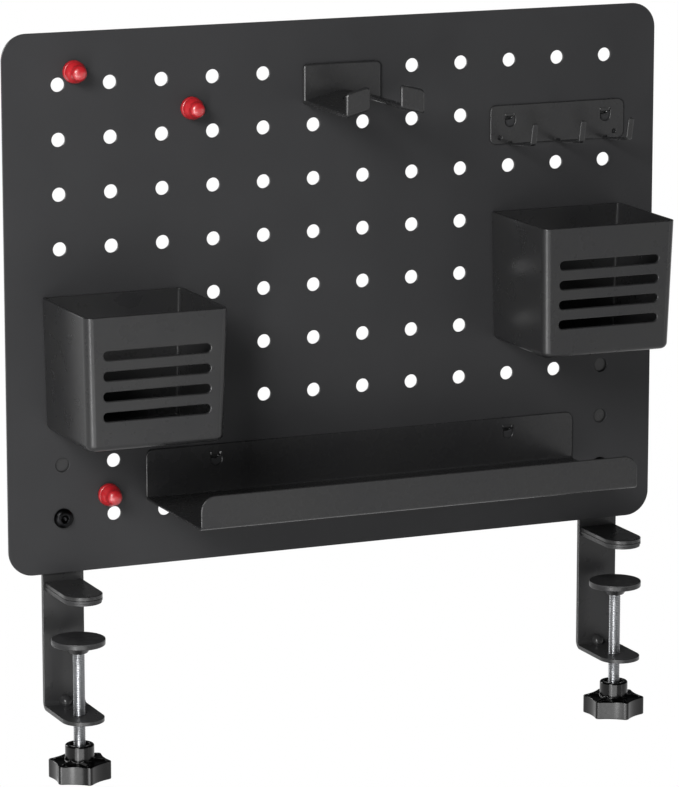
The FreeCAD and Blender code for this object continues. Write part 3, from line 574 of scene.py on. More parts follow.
# %% [markdown]
# ## Plastics and rubber
#
# The bins are moulded in ABS against a spark-eroded steel mould, which prints a fine even
# grain on them.  The knobs are phenolic and the pins polystyrene, both from polished moulds,
# so they mirror the lamps.  The jaw pads are plain rubber.  A clear coat over one flat colour
# would do for a distant view.  Here faint sink marks, rub marks and dust break the highlights
# up, as moulding and handling do.  All keep the shader's own index of refraction, 1.5.

# %% Moulded pieces


def moulded_plastic(name, dark, light):
    """Spark-textured mould finish: even grain over shallow sink marks, and a satin shine.  The
    real grain is about 0.1 mm, and is drawn at 0.35 mm to show at all."""
    tone, roughness, wear = (35.0, 3), (0.26, 0.32), (14.0, 5)
    spark, sink = (0.0008, (0.35, 2, 0.7)), (0.03, (30.0, 0))
    return make_finish(name, dark, light, tone, roughness, wear, spark, sink, Specular_IOR_Level=0.3)


def gloss_plastic(name, dark, light, roughness, shine, skin):
    """Polished moulded plastic: a slight ripple, faint rub marks and a clear skin."""
    tone, wear, ripple = (7.0, 2), (2.5, 5, 0.65), (0.02, (6.0, 1))
    return make_finish(name, dark, light, tone, roughness, wear, ripple,
                       Specular_IOR_Level=shine, Coat_Weight=skin, Coat_Roughness=0.08)


def rubber(name, dark, light):
    """Smooth-skinned rubber: dull, with dust of about 4 mm patches caught in its pores."""
    dust, roughness, smears, pores = (4.0, 6, 0.7), (0.42, 0.6), (6.0, 3), (0.01, (0.5, 2))
    return make_finish(name, dark, light, dust, roughness, smears, pores)


# The grain spreads the lamps into a satin sheen that fades evenly across each wall.
BIN_PLASTIC = moulded_plastic("textured_black_abs", "#262627", "#292929")
# So dull that the pads read as a dark band below the jaws.
RUBBER = rubber("smooth_black_rubber", "#1b1b1c", "#262627")
# The darkest thing here: almost all that is seen of a knob is what it mirrors.
KNOB_PLASTIC = gloss_plastic("polished_black_phenolic", "#020202", "#040404", (0.14, 0.20), 0.28, 0.0)
# Deep red with broad pale highlights, since light also scatters just under its surface.
PIN_PLASTIC = gloss_plastic("polished_red_styrene", "#a8151d", "#b41d25", (0.32, 0.38), 0.8, 0.25)
print("moulded:", BIN_PLASTIC.name, RUBBER.name, KNOB_PLASTIC.name, PIN_PLASTIC.name)

# %% [markdown]
# ## Plated steel
#
# Rods and nuts are zinc plated, the bracket screws blackened in hot salts, and the magnets
# nickel plated.  Plating follows the metal below, so it is a metal with a slight waviness and
# small drifts of tone and gloss.  A mirror without them would look like glass.  A metal's
# reflection comes from its colour, so its index of refraction is left alone.

# %% Metals


def plated_steel(name, dark, light, roughness):
    """Plated or blackened steel: drift of tone and gloss over a faint waviness."""
    tone, cloud, waviness = (3.0, 4), (5.0, 3), (0.001, (2.0, 1))
    return make_finish(name, dark, light, tone, roughness, cloud, waviness, Metallic=1.0)


# Zinc is a bluish silver and slightly cloudy.
ZINC = plated_steel("bright_zinc_plate", "#929496", "#9e9fa2", (0.30, 0.36))
# Black oxide is oiled, so it keeps a dark sheen.
BLACK_OXIDE = plated_steel("black_oxide_steel", "#141415", "#1c1c1d", (0.28, 0.40))
# Nickel is warmer and sharper than zinc.
NICKEL = plated_steel("nickel_plate", "#c3c0b8", "#d6d3cb", (0.12, 0.22))
print("metals:", ZINC.name, BLACK_OXIDE.name, NICKEL.name)

# %% [markdown]
# ## Board
#
# The real board is one flat sheet with round corners and 108 punched holes.  A Boolean
# modifier could punch them one by one, and would leave a tangle of thin faces.  A loop for
# each hole in the blank gives the same holes with clean rims, so the board is a folded sheet
# with no fold.  Its outer edge is only just broken, and its holes have a wider chamfer.

# %% Board
HOLE_R = 5.0
BOARD_CORNER_R = 18.0
BOARD_EDGE = 0.22
HOLE_EDGE = 0.55


def make_board():
    """The perforated sheet, standing on its lower edge with its front towards -Y."""
    height = BOARD_HIGH[2] - BOARD_LOW[2]
    outer = rounded(BOARD_LOW[0], BOARD_HIGH[0], 0, height, [BOARD_CORNER_R] * 4, 20)
    holes = [circle(column_x(column), row_z(row) - BOARD_LOW[2], HOLE_R)
             for column in range(COLUMNS) for row in range(ROWS)]
    mid_y = (BOARD_LOW[1] + BOARD_HIGH[1]) / 2
    line = fold_line([(mid_y, BOARD_LOW[2]), (mid_y, BOARD_HIGH[2])], 0)
    return folded_sheet("board_panel", [outer] + holes, BOARD_T, line, BOARD_EDGE, HOLE_EDGE)


board = add_piece(make_board(), "frame", BOARD_COAT, ["peg_board"])
print(board.name, len(board.data.polygons), "faces")

# %% [markdown]
# ## Tongues and windows
#
# Each accessory hangs by tongues that pass through the holes and drop behind the board.  On
# the tray and the rail a press pushes them out of the sheet, and a D-shaped window is left
# below each root.  It could be cut with its tongue in one outline, but a folded strip that
# starts in the sheet above the window looks the same, and serves bins and hook as well.

# %% Tongues
BACK_GAP = 0.2                  # accessory to board
ACCESSORY_BACK = BOARD_LOW[1] - BACK_GAP
SHEET_T = 1.5
TONGUE_W = 6.6
TONGUE_SEAT = 3.4               # tongue's underside below the centre of its hole
TONGUE_LEG_GAP = 0.3            # board to the leg behind it
TONGUE_PLAY = 0.1               # keeps the leg just inside the solid's
TONGUE_BEND_R = 0.5
TONGUE_TIP_R = 0.8
TONGUE_EDGE = 0.25
TONGUE_THINNING = 0.04          # lost where the press stretches it


def make_tongue(name, x, hole_z, thickness, root_y, root_rise=None):
    """Strip folded through a hole: up from its tip behind the board, forward over the hole's
    lower edge, and, where root_rise is given, up into its window's edge."""
    bar_z = hole_z - TONGUE_SEAT + thickness / 2
    leg_y = TONGUE_LEG_GAP + thickness / 2
    leg_end = hole_z - 3 * TONGUE_SEAT + thickness + TONGUE_PLAY
    corners = [(leg_y, leg_end), (leg_y, bar_z), (root_y, bar_z)]
    if root_rise is not None:
        corners.append((root_y, hole_z + root_rise))
    line = fold_line(corners, TONGUE_BEND_R + thickness / 2)
    half = TONGUE_W / 2
    loop = rounded(x - half, x + half, 0, line[-1, 0], [TONGUE_TIP_R, TONGUE_TIP_R, 0, 0], 4)
    return folded_sheet(name, [loop], thickness - TONGUE_THINNING, line, TONGUE_EDGE)


print("tongues", TONGUE_W, "mm wide go through holes", 2 * HOLE_R, "mm wide")

# %% Lanced windows
WINDOW_W = 8.3
WINDOW_H = 9.5
WINDOW_SHIFT = 0.45             # they were pressed slightly to the right
WINDOW_TOP = -0.4               # from the centre of the hole
TONGUE_ROOT_IN = 0.3            # how far a tongue starts inside its window's edge


def lanced_window(column, row, top):
    """Window left by a tongue, in a blank whose v runs down from top."""
    return window(column_x(column) + WINDOW_SHIFT, top - row_z(row) - WINDOW_TOP, WINDOW_W, WINDOW_H)


def add_lanced_tongues(body, columns, row):
    """The tongues of a tray or rail."""
    for count, column in enumerate(columns, 1):
        mesh = make_tongue(f"{body}_tongue_{count}", column_x(column), row_z(row), SHEET_T,
                           ACCESSORY_BACK - SHEET_T / 2, WINDOW_TOP + TONGUE_ROOT_IN)
        add_piece(mesh, body, ACCESSORY_COAT)


print("windows are", WINDOW_W, "by", WINDOW_H, "mm")

# %% [markdown]
# ## Tray
#
# A shelf for a telephone, folded from one sheet: back plate, floor and front lip, with small
# corners above and large ones on the lip.  Three thin boxes would give its outline, but not
# the round folds that catch the light.  As one blank it has them, and both the corners and
# the windows are cut before it is bent.

# %% Tray
TRAY_COLUMNS = (3, 9)
TRAY_ROW = 7
TRAY_LIP_H = 23.8
TRAY_BACK_CORNER_R = 5.0
TRAY_LIP_CORNER_R = 10.5
SHEET_BEND_R = 1.5


def make_tray():
    """The folded tray, its blank running down the back, along the floor and up the lip."""
    low, high = span("tray")
    back_y = ACCESSORY_BACK - SHEET_T / 2
    floor_z = low[2] + SHEET_T / 2
    lip_y = low[1] + SHEET_T / 2
    corners = [(back_y, high[2]), (back_y, floor_z), (lip_y, floor_z), (lip_y, low[2] + TRAY_LIP_H)]
    line = fold_line(corners, SHEET_BEND_R + SHEET_T / 2)
    radii = [TRAY_BACK_CORNER_R] * 2 + [TRAY_LIP_CORNER_R] * 2
    outer = rounded(low[0], high[0], 0, line[-1, 0], radii, 14)
    holes = [lanced_window(column, TRAY_ROW, high[2]) for column in TRAY_COLUMNS]
    return folded_sheet("tray_sheet", [outer] + holes, SHEET_T, line)


tray = add_piece(make_tray(), "tray", ACCESSORY_COAT, ["tray"])
add_lanced_tongues("tray", TRAY_COLUMNS, TRAY_ROW)
print(tray.name, len(tray.data.polygons), "faces")

# %% [markdown]
# ## Key rail
#
# A small plate with two fixing holes and two windows, and three narrow hooks bent up from its
# lower edge.  Plate and hooks could share one comb-shaped blank.  Separate strips that start
# behind the plate's edge were chosen, since each can then be bent with its own larger radius.

# %% Key rail plate
RAIL_COLUMNS = (9, 10, 11)
RAIL_TONGUE_COLUMNS = (9, 11)
RAIL_ROW = 1
RAIL_BOTTOM_Z = 296.0
RAIL_CORNER_R = 4.5
RAIL_PIN_HOLE_R = 1.5
RAIL_PIN_HOLE_IN = 7.6
RAIL_PIN_HOLE_UP = 4.8
RAIL_MID_Y = ACCESSORY_BACK - SHEET_T / 2


def make_rail_plate():
    """Upright plate of the rail."""
    low, high = span("key_rail")
    line = fold_line([(RAIL_MID_Y, high[2]), (RAIL_MID_Y, RAIL_BOTTOM_Z)], 0)
    length = high[2] - RAIL_BOTTOM_Z
    holes = [lanced_window(column, RAIL_ROW, high[2]) for column in RAIL_TONGUE_COLUMNS]
    for x in (low[0] + RAIL_PIN_HOLE_IN, high[0] - RAIL_PIN_HOLE_IN):
        holes.append(circle(x, length - RAIL_PIN_HOLE_UP, RAIL_PIN_HOLE_R, 20))
    outer = rounded(low[0], high[0], 0, length, [RAIL_CORNER_R] * 4, 8)
    return folded_sheet("key_rail_plate", [outer] + holes, SHEET_T, line)


rail = add_piece(make_rail_plate(), "key_rail", ACCESSORY_COAT, ["key_rail"])
print(rail.name, len(rail.data.polygons), "faces")

# %% Key hooks
RAIL_HOOK_W = 4.4
RAIL_HOOK_Y = -42.0
RAIL_HOOK_RISE = 4.4
RAIL_HOOK_BEND_R = 3.0
RAIL_HOOK_ROOT = 2.6            # how far a hook starts above the plate's lower edge
RAIL_HOOK_DROP = 0.15           # arm's centre line below the plate's lower edge, at the plate
RAIL_TIP_Y = -45.6
RAIL_TIP_DROP = 8.2             # tip below the plate's upper edge
RAIL_TIP_FLAT = 0.2             # what keeps the tip's two arcs apart


def make_rail_hook(name, x):
    """One hook: forward from the plate, slightly upward, then up to a rounded tip."""
    tip_z = span("key_rail")[1][2] - RAIL_TIP_DROP
    arm_z = RAIL_BOTTOM_Z - RAIL_HOOK_DROP
    corners = [(RAIL_MID_Y, RAIL_BOTTOM_Z + RAIL_HOOK_ROOT), (RAIL_MID_Y, arm_z),
               (RAIL_HOOK_Y, arm_z + RAIL_HOOK_RISE), (RAIL_TIP_Y, tip_z)]
    line = fold_line(corners, RAIL_HOOK_BEND_R - SHEET_T / 2)
    half = RAIL_HOOK_W / 2
    tip_r = half - RAIL_TIP_FLAT
    loop = rounded(x - half, x + half, 0, line[-1, 0], [0, 0, tip_r, tip_r], 8)
    return folded_sheet(name, [loop], SHEET_T, line)


for count, column in enumerate(RAIL_COLUMNS, 1):
    key_hook = add_piece(make_rail_hook(f"key_rail_hook_{count}", column_x(column)), "key_rail",
                         ACCESSORY_COAT)
    print(key_hook.name, len(key_hook.data.polygons), "faces")
add_lanced_tongues("key_rail", RAIL_TONGUE_COLUMNS, RAIL_ROW)

# %% [markdown]
# ## Headphone hook
#
# The real hook is thick sheet: a plate against the board, two arms with a round notch between
# them, and a lip on each arm.  The arms rise to a ridge, so that a headband rests on it.  Bent
# curves could carry the arms, but the notch would need cutting.  So one notched blank is
# folded forward and up, and its points are then raised towards the middle like a roof.

# %% Saddle
HOOK_SLOPE = math.radians(14.4)
HOOK_RIDGE_R = 30.0


def roof(across):
    """Rise of the saddle at a distance from its middle: two slopes of tan(slope) times the
    distance in from the edge, joined by an arc of the ridge's radius."""
    low, high = span("headphone_hook")
    half = (high[0] - low[0]) / 2
    from_middle = np.abs(across)
    tangent = HOOK_RIDGE_R * math.sin(HOOK_SLOPE)
    slope = (half - from_middle) * math.tan(HOOK_SLOPE)
    inner = np.sqrt(HOOK_RIDGE_R ** 2 - np.minimum(from_middle, tangent) ** 2)
    ridge = (half - tangent) * math.tan(HOOK_SLOPE) + inner - HOOK_RIDGE_R * math.cos(HOOK_SLOPE)
    return np.where(from_middle > tangent, slope, ridge)


print("the saddle rises", round(float(roof(np.array(0.0))), 2), "mm")

# %% Hook blank
HOOK_T = 3.0
HOOK_EDGE = 1.15
HOOK_LIP_W = 17.6
HOOK_NOTCH_FLOOR_Y = -24.0
HOOK_CORNER_R = 3.0


def hook_outline(low_x, high_x, line):
    """Blank of the hook: a rectangle with a U-shaped notch in its far end, whose floor is a
    half circle as wide as the gap between the lips."""
    middle, end, r = (low_x + high_x) / 2, line[-1, 0], HOOK_CORNER_R
    arm_end = line[line[:, 1] > HOOK_NOTCH_FLOOR_Y][-1]
    notch_v = arm_end[0] + arm_end[1] - HOOK_NOTCH_FLOOR_Y
    gap = (high_x - low_x) / 2 - HOOK_LIP_W
    u = [low_x, middle - gap, middle + gap, high_x]
    return np.concatenate([
        arc((u[0] + r, r), r, 180, 270, 6), arc((u[3] - r, r), r, 270, 360, 6),
        arc((u[3] - r, end - r), r, 0, 90, 6), arc((u[2] + r, end - r), r, 90, 180, 6),
        arc((middle, notch_v + gap), gap, 0, -180, 24),
        arc((u[1] - r, end - r), r, 0, 90, 6), arc((u[0] + r, end - r), r, 90, 180, 6)])


print("each lip is", HOOK_LIP_W, "mm wide")

# %% Headphone hook
HOOK_LIP_H = 17.2
HOOK_BEND_R = 0.05
HOOK_RISE = 0.45                # coat and crown above the plate's nominal top
RIDGE_CUTS = 9                  # cuts along the blank, so that the ridge can curve


def make_hook():
    """The folded and arched hook, its plate stretched down to meet the arched bend."""
    low, high = span("headphone_hook")
    middle = (low[0] + high[0]) / 2
    plate_y = ACCESSORY_BACK - HOOK_T / 2
    lip_y = low[1] + HOOK_T / 2
    arm_z = low[2] + HOOK_T / 2 / math.cos(HOOK_SLOPE)
    corners = [(plate_y, high[2] + HOOK_RISE), (plate_y, arm_z),
               (lip_y, arm_z), (lip_y, low[2] + HOOK_LIP_H)]
    line = fold_line(corners, HOOK_BEND_R + HOOK_T / 2)
    bend_v = line[1, 0]
    ridge = HOOK_RIDGE_R * math.sin(HOOK_SLOPE)
    cuts = [(0, middle + x) for x in np.linspace(-ridge, ridge, RIDGE_CUTS)]

    def arch(flat, shaped):
        """Raise the arms and lips by the roof, and the plate by its share of v up to the bend."""
        share = np.clip(flat[:, 1] / bend_v, 0, 1)
        shaped[:, 2] += share * roof(shaped[:, 0] - middle)
        return shaped

    outline = hook_outline(low[0], high[0], line)
    return folded_sheet("headphone_hook_sheet", [outline], HOOK_T, line, HOOK_EDGE, cuts=cuts, warp=arch)


hook = add_piece(make_hook(), "headphone_hook", ACCESSORY_COAT,
                 ["headphone_hook", "headphone_hook_tabs"])
print(hook.name, len(hook.data.polygons), "faces")

# %% Hook tabs
HOOK_COLUMNS = (5, 6)
HOOK_ROW = 0
HOOK_TAB_T = 2.0
HOOK_TAB_ROOT_Y = ACCESSORY_BACK - 1.8      # inside the plate that they are welded to

for count, column in enumerate(HOOK_COLUMNS, 1):
    tab = make_tongue(f"headphone_hook_tab_{count}", column_x(column), row_z(HOOK_ROW), HOOK_TAB_T,
                      HOOK_TAB_ROOT_Y)
    add_piece(tab, "headphone_hook", ACCESSORY_COAT)
    print(tab.name, len(tab.polygons), "faces")

# %% [markdown]
# ## Bins
#
# Each bin is a moulded tub for pencils.  Its front and sides lean in towards the foot, so
# that it could be drawn from its mould, and its front has four slots.  A box could be tapered,
# hollowed by Solidify and slotted by a Boolean, but its radii would shrink with the taper and
# its slots would need mending.  So its outer and inner skins are rings that follow one outline
# down from the rim, round the foot and across the floor.  The flat front is left out of the
# rings, and a panel with slots fills it.

# %% Bin outline
BIN_W = 104.5
BIN_D = 88.0
BIN_H = 93.5
BIN_WALL = 2.2
BIN_DRAFT_SIDE = 2.4            # how far a side leans in over the bin's height
BIN_DRAFT_FRONT = 3.0
BIN_FRONT_R = 6.0
BIN_BACK_R = 3.0
BIN_CAVITY_BACK_R = 2.6
BIN_LEAST_R = 0.3
BIN_CORNER_STEPS = 8


def bin_ring(depth, inner, shrink=0.0):
    """Outline (x, y) of a skin at a depth below the rim, clockwise from the front-left corner
    seen from above: half the width less the draft's share for that depth, less the wall.
    Shrink moves it further inward, as round the foot."""
    lean = depth / BIN_H
    move = BIN_WALL * inner + shrink
    half = BIN_W / 2 - BIN_DRAFT_SIDE * lean - move
    front = -BIN_D + BIN_DRAFT_FRONT * lean + move
    back = -BIN_WALL * inner - shrink
    front_r = max(BIN_FRONT_R - move, BIN_LEAST_R)
    back_r = max((BIN_CAVITY_BACK_R if inner else BIN_BACK_R) - shrink, BIN_LEAST_R)
    steps = BIN_CORNER_STEPS
    return np.concatenate([
        arc((-half + front_r, front + front_r), front_r, 270, 180, steps),
        arc((-half + back_r, back - back_r), back_r, 180, 90, steps),
        arc((half - back_r, back - back_r), back_r, 90, 0, steps),
        arc((half - front_r, front + front_r), front_r, 0, -90, steps)])


print("the bin's outline has", len(bin_ring(0.0, 0)), "points")

# %% Bin skins
BIN_FLOOR = 2.4
BIN_BOTTOM_R = 4.5
BIN_RIM_R = 0.6


def level_ring(depth, inner, shrink):
    """Outline of a skin as points (x, y, z) at its depth."""
    ring = bin_ring(depth, inner, shrink)
    return np.column_stack([ring, np.full(len(ring), -depth)])


def skin_rings(inner):
    """Rings of a skin from just below the rim to the flat of its floor.  Round the foot the
    depth grows by the foot's radius times the sine of the turn, and the outline shrinks by
    the radius times one less the cosine."""
    deepest = BIN_H - (BIN_FLOOR if inner else 0.0)
    foot_r = BIN_BOTTOM_R - BIN_WALL * inner
    rings = [level_ring(BIN_RIM_R, inner, 0.0)]
    for turn in np.radians(np.linspace(0, 90, 9)):
        depth = deepest - foot_r + foot_r * math.sin(turn)
        rings.append(level_ring(depth, inner, foot_r * (1 - math.cos(turn))))
    return rings


def rim_rings():
    """Rings over the rim, from the inner skin to the outer one, along two quarter rounds of
    the rim's radius with a flat between."""
    rings = []
    for inner, turns in ((1, np.linspace(0, 90, 5)), (0, np.linspace(90, 0, 5)[1:])):
        for turn in np.radians(turns):
            inward = BIN_RIM_R * (1 - math.cos(turn))
            rings.append(level_ring(BIN_RIM_R * (1 - math.sin(turn)), inner, -inward if inner else inward))
    return rings


print(len(skin_rings(0)), "rings to a skin,", len(rim_rings()), "over the rim")

# %% Bin front
BIN_SLOTS = 4
BIN_SLOT_L = 78.2
BIN_SLOT_H = 6.5
BIN_SLOT_PITCH = 14.2
BIN_SLOT_TOP = 26.8             # rim to the middle of the first slot
BIN_SLOT_EDGE = 0.65


def bin_slots():
    """Loops (x, height) of the slots, one pitch apart."""
    middles = -(BIN_SLOT_TOP + np.arange(BIN_SLOTS) * BIN_SLOT_PITCH)
    return [slot(-BIN_SLOT_L / 2, BIN_SLOT_L / 2, middle, BIN_SLOT_H / 2) for middle in middles]


def front_panel(top, foot):
    """Flat front of one skin with its slots: points (x, height) and triangles."""
    loops = [np.array([[corner[0], corner[2]] for corner in (foot[0], foot[1], top[1], top[0])])]
    loops += [inset(loop, BIN_SLOT_EDGE) for loop in bin_slots()]
    return np.concatenate(loops), fill(loops)


def on_front(flat, through):
    """Points (x, y, z) from (x, height) on the front, which leans in by the draft's share for
    the depth; through is mm into the wall."""
    y = -BIN_D + BIN_DRAFT_FRONT * -flat[:, 1] / BIN_H + through
    return np.column_stack([flat[:, 0], y, flat[:, 1]])


print("slots end", round(-bin_slots()[-1][:, 1].min(), 2), "mm below the rim")

# %% Bin
HANG_TOP = 5.4                  # rim above the centres of the row of holes that it hangs in


def make_bin(name, column, row):
    """The whole tub as one closed mesh: skins and rim, floors, front panels, slots' edges."""
    outer, inner, rim = skin_rings(0), skin_rings(1), rim_rings()
    stack = inner[::-1] + rim[1:-1] + outer
    count = len(outer[0])
    quads = np.array(strip_faces(len(stack), count)).reshape(len(stack) - 1, count, 4)
    walled = np.ones(quads.shape[:2], bool)
    walled[[len(inner) - 2, len(stack) - len(outer)], -1] = False
    used = len(stack) * count
    points = [np.concatenate(stack)]
    faces = quads[walled].tolist() + [list(range(count)), list(range(used - count, used))]
    for is_inner, rings in ((0, outer), (1, inner)):
        flat, triangles = front_panel((rings[0][0], rings[0][-1]), (rings[1][0], rings[1][-1]))
        points.append(on_front(flat, BIN_WALL * is_inner))
        faces += (np.array(triangles) + used).tolist()
        used += len(flat)
    profile = edge_profile(BIN_WALL, BIN_SLOT_EDGE)
    for loop in bin_slots():
        points += [on_front(inset(loop, distance), BIN_WALL / 2 - w) for distance, w in profile]
        faces += strip_faces(len(profile), len(loop), used)
        used += len(loop) * len(profile)
    hung_at = np.array([column_x(column), ACCESSORY_BACK, row_z(row) + HANG_TOP])
    points = np.concatenate(points) + hung_at
    return place(to_mesh(name + "_tub", points, faces), points)


BIN_HANGS = {"bin_left": (1, 4), "bin_right": (10, 3)}      # column of its middle, row of its tongues
BIN_TONGUE_T = 2.0
BIN_TONGUE_ROOT_Y = ACCESSORY_BACK - BIN_WALL * 0.6

for bin_name, (column, row) in BIN_HANGS.items():
    tub = add_piece(make_bin(bin_name, column, row), bin_name, BIN_PLASTIC, [bin_name])
    for count, side in enumerate((-1, 1), 1):
        tongue = make_tongue(f"{bin_name}_tongue_{count}", column_x(column + side), row_z(row),
                             BIN_TONGUE_T, BIN_TONGUE_ROOT_Y)
        add_piece(tongue, bin_name, BIN_PLASTIC)
    print(tub.name, len(tub.data.polygons), "faces")

# %% [markdown]
# ## Clamp brackets
#
# A steel strip behind the board is folded forward into the lower jaw.  It is the same folded
# sheet as the tray, only thicker.  A gusset pressed into the bend stiffens it.  Pressing could
# be copied by pulling the sheet's points out, but the bend has too few of them, so the gusset
# is a rib of its own, sunk in the sheet.  A boss locates the strip in a hole of the board.

# %% Clamp strips
CLAMP_SIDES = ("left", "right")
CLAMP_X = {"left": column_x(0), "right": column_x(COLUMNS - 1)}
STRIP_T = 3.0
STRIP_EDGE = 0.35
STRIP_CORNER_R = 6.0
STRIP_BEND_R = 3.0
NOSE_FLAT = 0.05                # what keeps the two arcs of a round nose apart
LOWER_JAW_TOP_Z = -83.0
ROD_HOLE_R = 4.6
SCREW_Y = -29.5
SCREW_ROW = 8
SCREW_HOLE_R = 4.5


def make_strip(side):
    """Strip and lower jaw of one clamp."""
    low, high = span(f"clamp_bracket_{side}")
    jaw_z = LOWER_JAW_TOP_Z - STRIP_T / 2
    corners = [(STRIP_T / 2, high[2]), (STRIP_T / 2, jaw_z), (low[1], jaw_z)]
    line = fold_line(corners, STRIP_BEND_R + STRIP_T / 2)
    end = line[-1, 0]
    nose_r = (high[0] - low[0]) / 2 - NOSE_FLAT
    outline = rounded(low[0], high[0], 0, end, [STRIP_CORNER_R] * 2 + [nose_r] * 2, 16)
    holes = [circle(CLAMP_X[side], high[2] - row_z(SCREW_ROW), SCREW_HOLE_R),
             circle(CLAMP_X[side], end - (SCREW_Y - low[1]), ROD_HOLE_R)]
    return folded_sheet(f"clamp_strip_{side}", [outline] + holes, STRIP_T, line, STRIP_EDGE)


print("strips at x", [round(x, 2) for x in CLAMP_X.values()])

# %% Gussets and bosses
GUSSET_R = 4.4
GUSSET_LEG = 6.4
GUSSET_SINK = 1.6
GUSSET_OVERRUN = 0.8
BOSS_ROW = 5
BOSS_R = 4.8
BOSS_H = 1.8
BOSS_PROFILE = ((BOSS_R, -1.0), (BOSS_R, BOSS_H - 0.4), (BOSS_R - 0.12, BOSS_H - 0.12),
                (BOSS_R - 0.4, BOSS_H))


def make_gusset(side):
    """Pressed rib in the bend: an ellipsoid along a line at 45 degrees, its radius the rib's
    times the root of 1 less the square of the distance along it."""
    half = GUSSET_LEG / math.sqrt(2) + GUSSET_OVERRUN
    along = np.linspace(-1, 1, 25)
    sunk = GUSSET_SINK / math.sqrt(2)
    middle = np.array([CLAMP_X[side], sunk - GUSSET_LEG / 2, LOWER_JAW_TOP_Z + GUSSET_LEG / 2 - sunk])
    radius = GUSSET_R * np.sqrt(1 - along ** 2)
    return lathe(f"clamp_gusset_{side}", np.column_stack([radius, along * half]), middle, "slant", 48)


def make_boss(side):
    """Locating boss on the strip, nearly flush with the board's front."""
    return lathe(f"clamp_boss_{side}", BOSS_PROFILE, (CLAMP_X[side], 0, row_z(BOSS_ROW)), "forward", 64)


for side in CLAMP_SIDES:
    strip = add_piece(make_strip(side), "frame", CLAMP_COAT, [f"clamp_bracket_{side}"])
    add_piece(make_gusset(side), "frame", CLAMP_COAT)
    add_piece(make_boss(side), "frame", CLAMP_COAT)
    print(strip.name, len(strip.data.polygons), "faces")

# %% [markdown]
# ## Upper jaws
#
# The upper jaw is a flat plate with a round nose, welded to the strip, on a rubber pad in two
# steps.  A cube with a bevelled end would come close.  The same flat sheet as before gives a
# true half circle, and its plate and two rubber layers differ only in a few numbers.

# %% Jaws
JAW_EDGE = 0.6
RUBBER_EDGE = 0.3
JAW_PAD_STEP_T = 1.8
JAW_PAD_STEP_IN = 0.6


def jaw_plate(name, x, width, reach, z0, z1, edge):
    """Flat plate that reaches forward from y = 0 and ends in a half circle."""
    middle = (z0 + z1) / 2
    line = fold_line([(0.0, middle), (-reach, middle)], 0)
    nose_r = width / 2 - NOSE_FLAT
    outline = rounded(x - width / 2, x + width / 2, 0, reach, [0, 0, nose_r, nose_r], 24)
    return folded_sheet(name, [outline], z1 - z0, line, edge)


for side in CLAMP_SIDES:
    low, high = span(f"upper_jaw_{side}")
    x, width, reach = CLAMP_X[side], high[0] - low[0], -low[1]
    jaw = jaw_plate(f"jaw_plate_{side}", x, width, reach, low[2], high[2], JAW_EDGE)
    add_piece(jaw, "frame", CLAMP_COAT, [f"upper_jaw_{side}"])
    upper = jaw_plate(f"jaw_rubber_upper_{side}", x, width, reach, JAW_PAD_STEP_T, low[2], RUBBER_EDGE)
    add_piece(upper, "frame", RUBBER, [f"jaw_pad_{side}"])
    lower = jaw_plate(f"jaw_rubber_lower_{side}", x, width - 2 * JAW_PAD_STEP_IN,
                      reach - JAW_PAD_STEP_IN, 0.0, JAW_PAD_STEP_T, RUBBER_EDGE)
    add_piece(lower, "frame", RUBBER)
    print(jaw.name, round(width, 2), "by", round(reach, 2), "mm")

# %% [markdown]
# ## Clamp screws
#
# The clamp screw is an M8 rod with a rolled thread.  Its neck is riveted into the pressure
# disc, and its hexagon head sits inside the knob.  A thread could be a bump pattern, but its
# outline would stay smooth, and a Screw modifier would leave an open coil.  So the thread is
# one helical surface: rows of points climb with it, which keeps crest and root sharp.

# %% Thread
ROD_R = 4.25                    # crest of the thread
THREAD_PITCH = 1.25
THREAD_DEPTH = 0.35
THREAD_ROWS = 8                 # rows of points per turn of the thread
THREAD_COLUMNS = 36
THREAD_SWING = 1.3              # the wave is stretched by this,
THREAD_CREST = 0.12             # and lowered by this, to be cut flat at crest and root


def make_thread(name, centre, low, high):
    """Threaded rod from height low to high.  A point climbs by the pitch in each turn, and
    its radius is the crest's, less the depth times a triangle wave of the phase with its
    top and bottom cut flat.  Points past an end are drawn in to the axis, and close it."""
    turns = (high - low) / THREAD_PITCH
    rows = int(math.ceil(turns)) * THREAD_ROWS + 3 * THREAD_ROWS
    column, row = np.meshgrid(np.arange(THREAD_COLUMNS), np.arange(rows))
    height = low + THREAD_PITCH * (row / THREAD_ROWS + column / THREAD_COLUMNS - 1)
    phase = (row % THREAD_ROWS) / THREAD_ROWS
    wave = np.clip(THREAD_SWING * np.abs(2 * phase - 1) - THREAD_CREST, 0, 1)
    outside = (height < low) | (height > high)
    radius = np.where(outside, 0.0, ROD_R - THREAD_DEPTH * wave)
    height = np.clip(height, low, high)
    turn = column * 2 * math.pi / THREAD_COLUMNS
    points = np.stack([radius * np.cos(turn), radius * np.sin(turn), height], -1).reshape(-1, 3)
    faces = []
    for i in range(THREAD_COLUMNS):
        across = (i + 1) % THREAD_COLUMNS
        lift = THREAD_ROWS if i == THREAD_COLUMNS - 1 else 0
        start = np.arange(rows - 1 - lift)
        a = start * THREAD_COLUMNS + i
        b = (start + lift) * THREAD_COLUMNS + across
        faces += np.stack([a, b, b + THREAD_COLUMNS, a + THREAD_COLUMNS], -1).tolist()
    points = points + np.array(centre, float)
    return place(to_mesh(name, points, faces), points)


print("the thread is", THREAD_DEPTH, "mm deep at", THREAD_PITCH, "mm a turn")

# %% Hexagons
HEX_END = 0.99                  # radius of the round face at a hexagon's end, in apothems
HEX_BETWEEN = 1.07              # and halfway down the chamfer
BORE_EDGE = 0.5


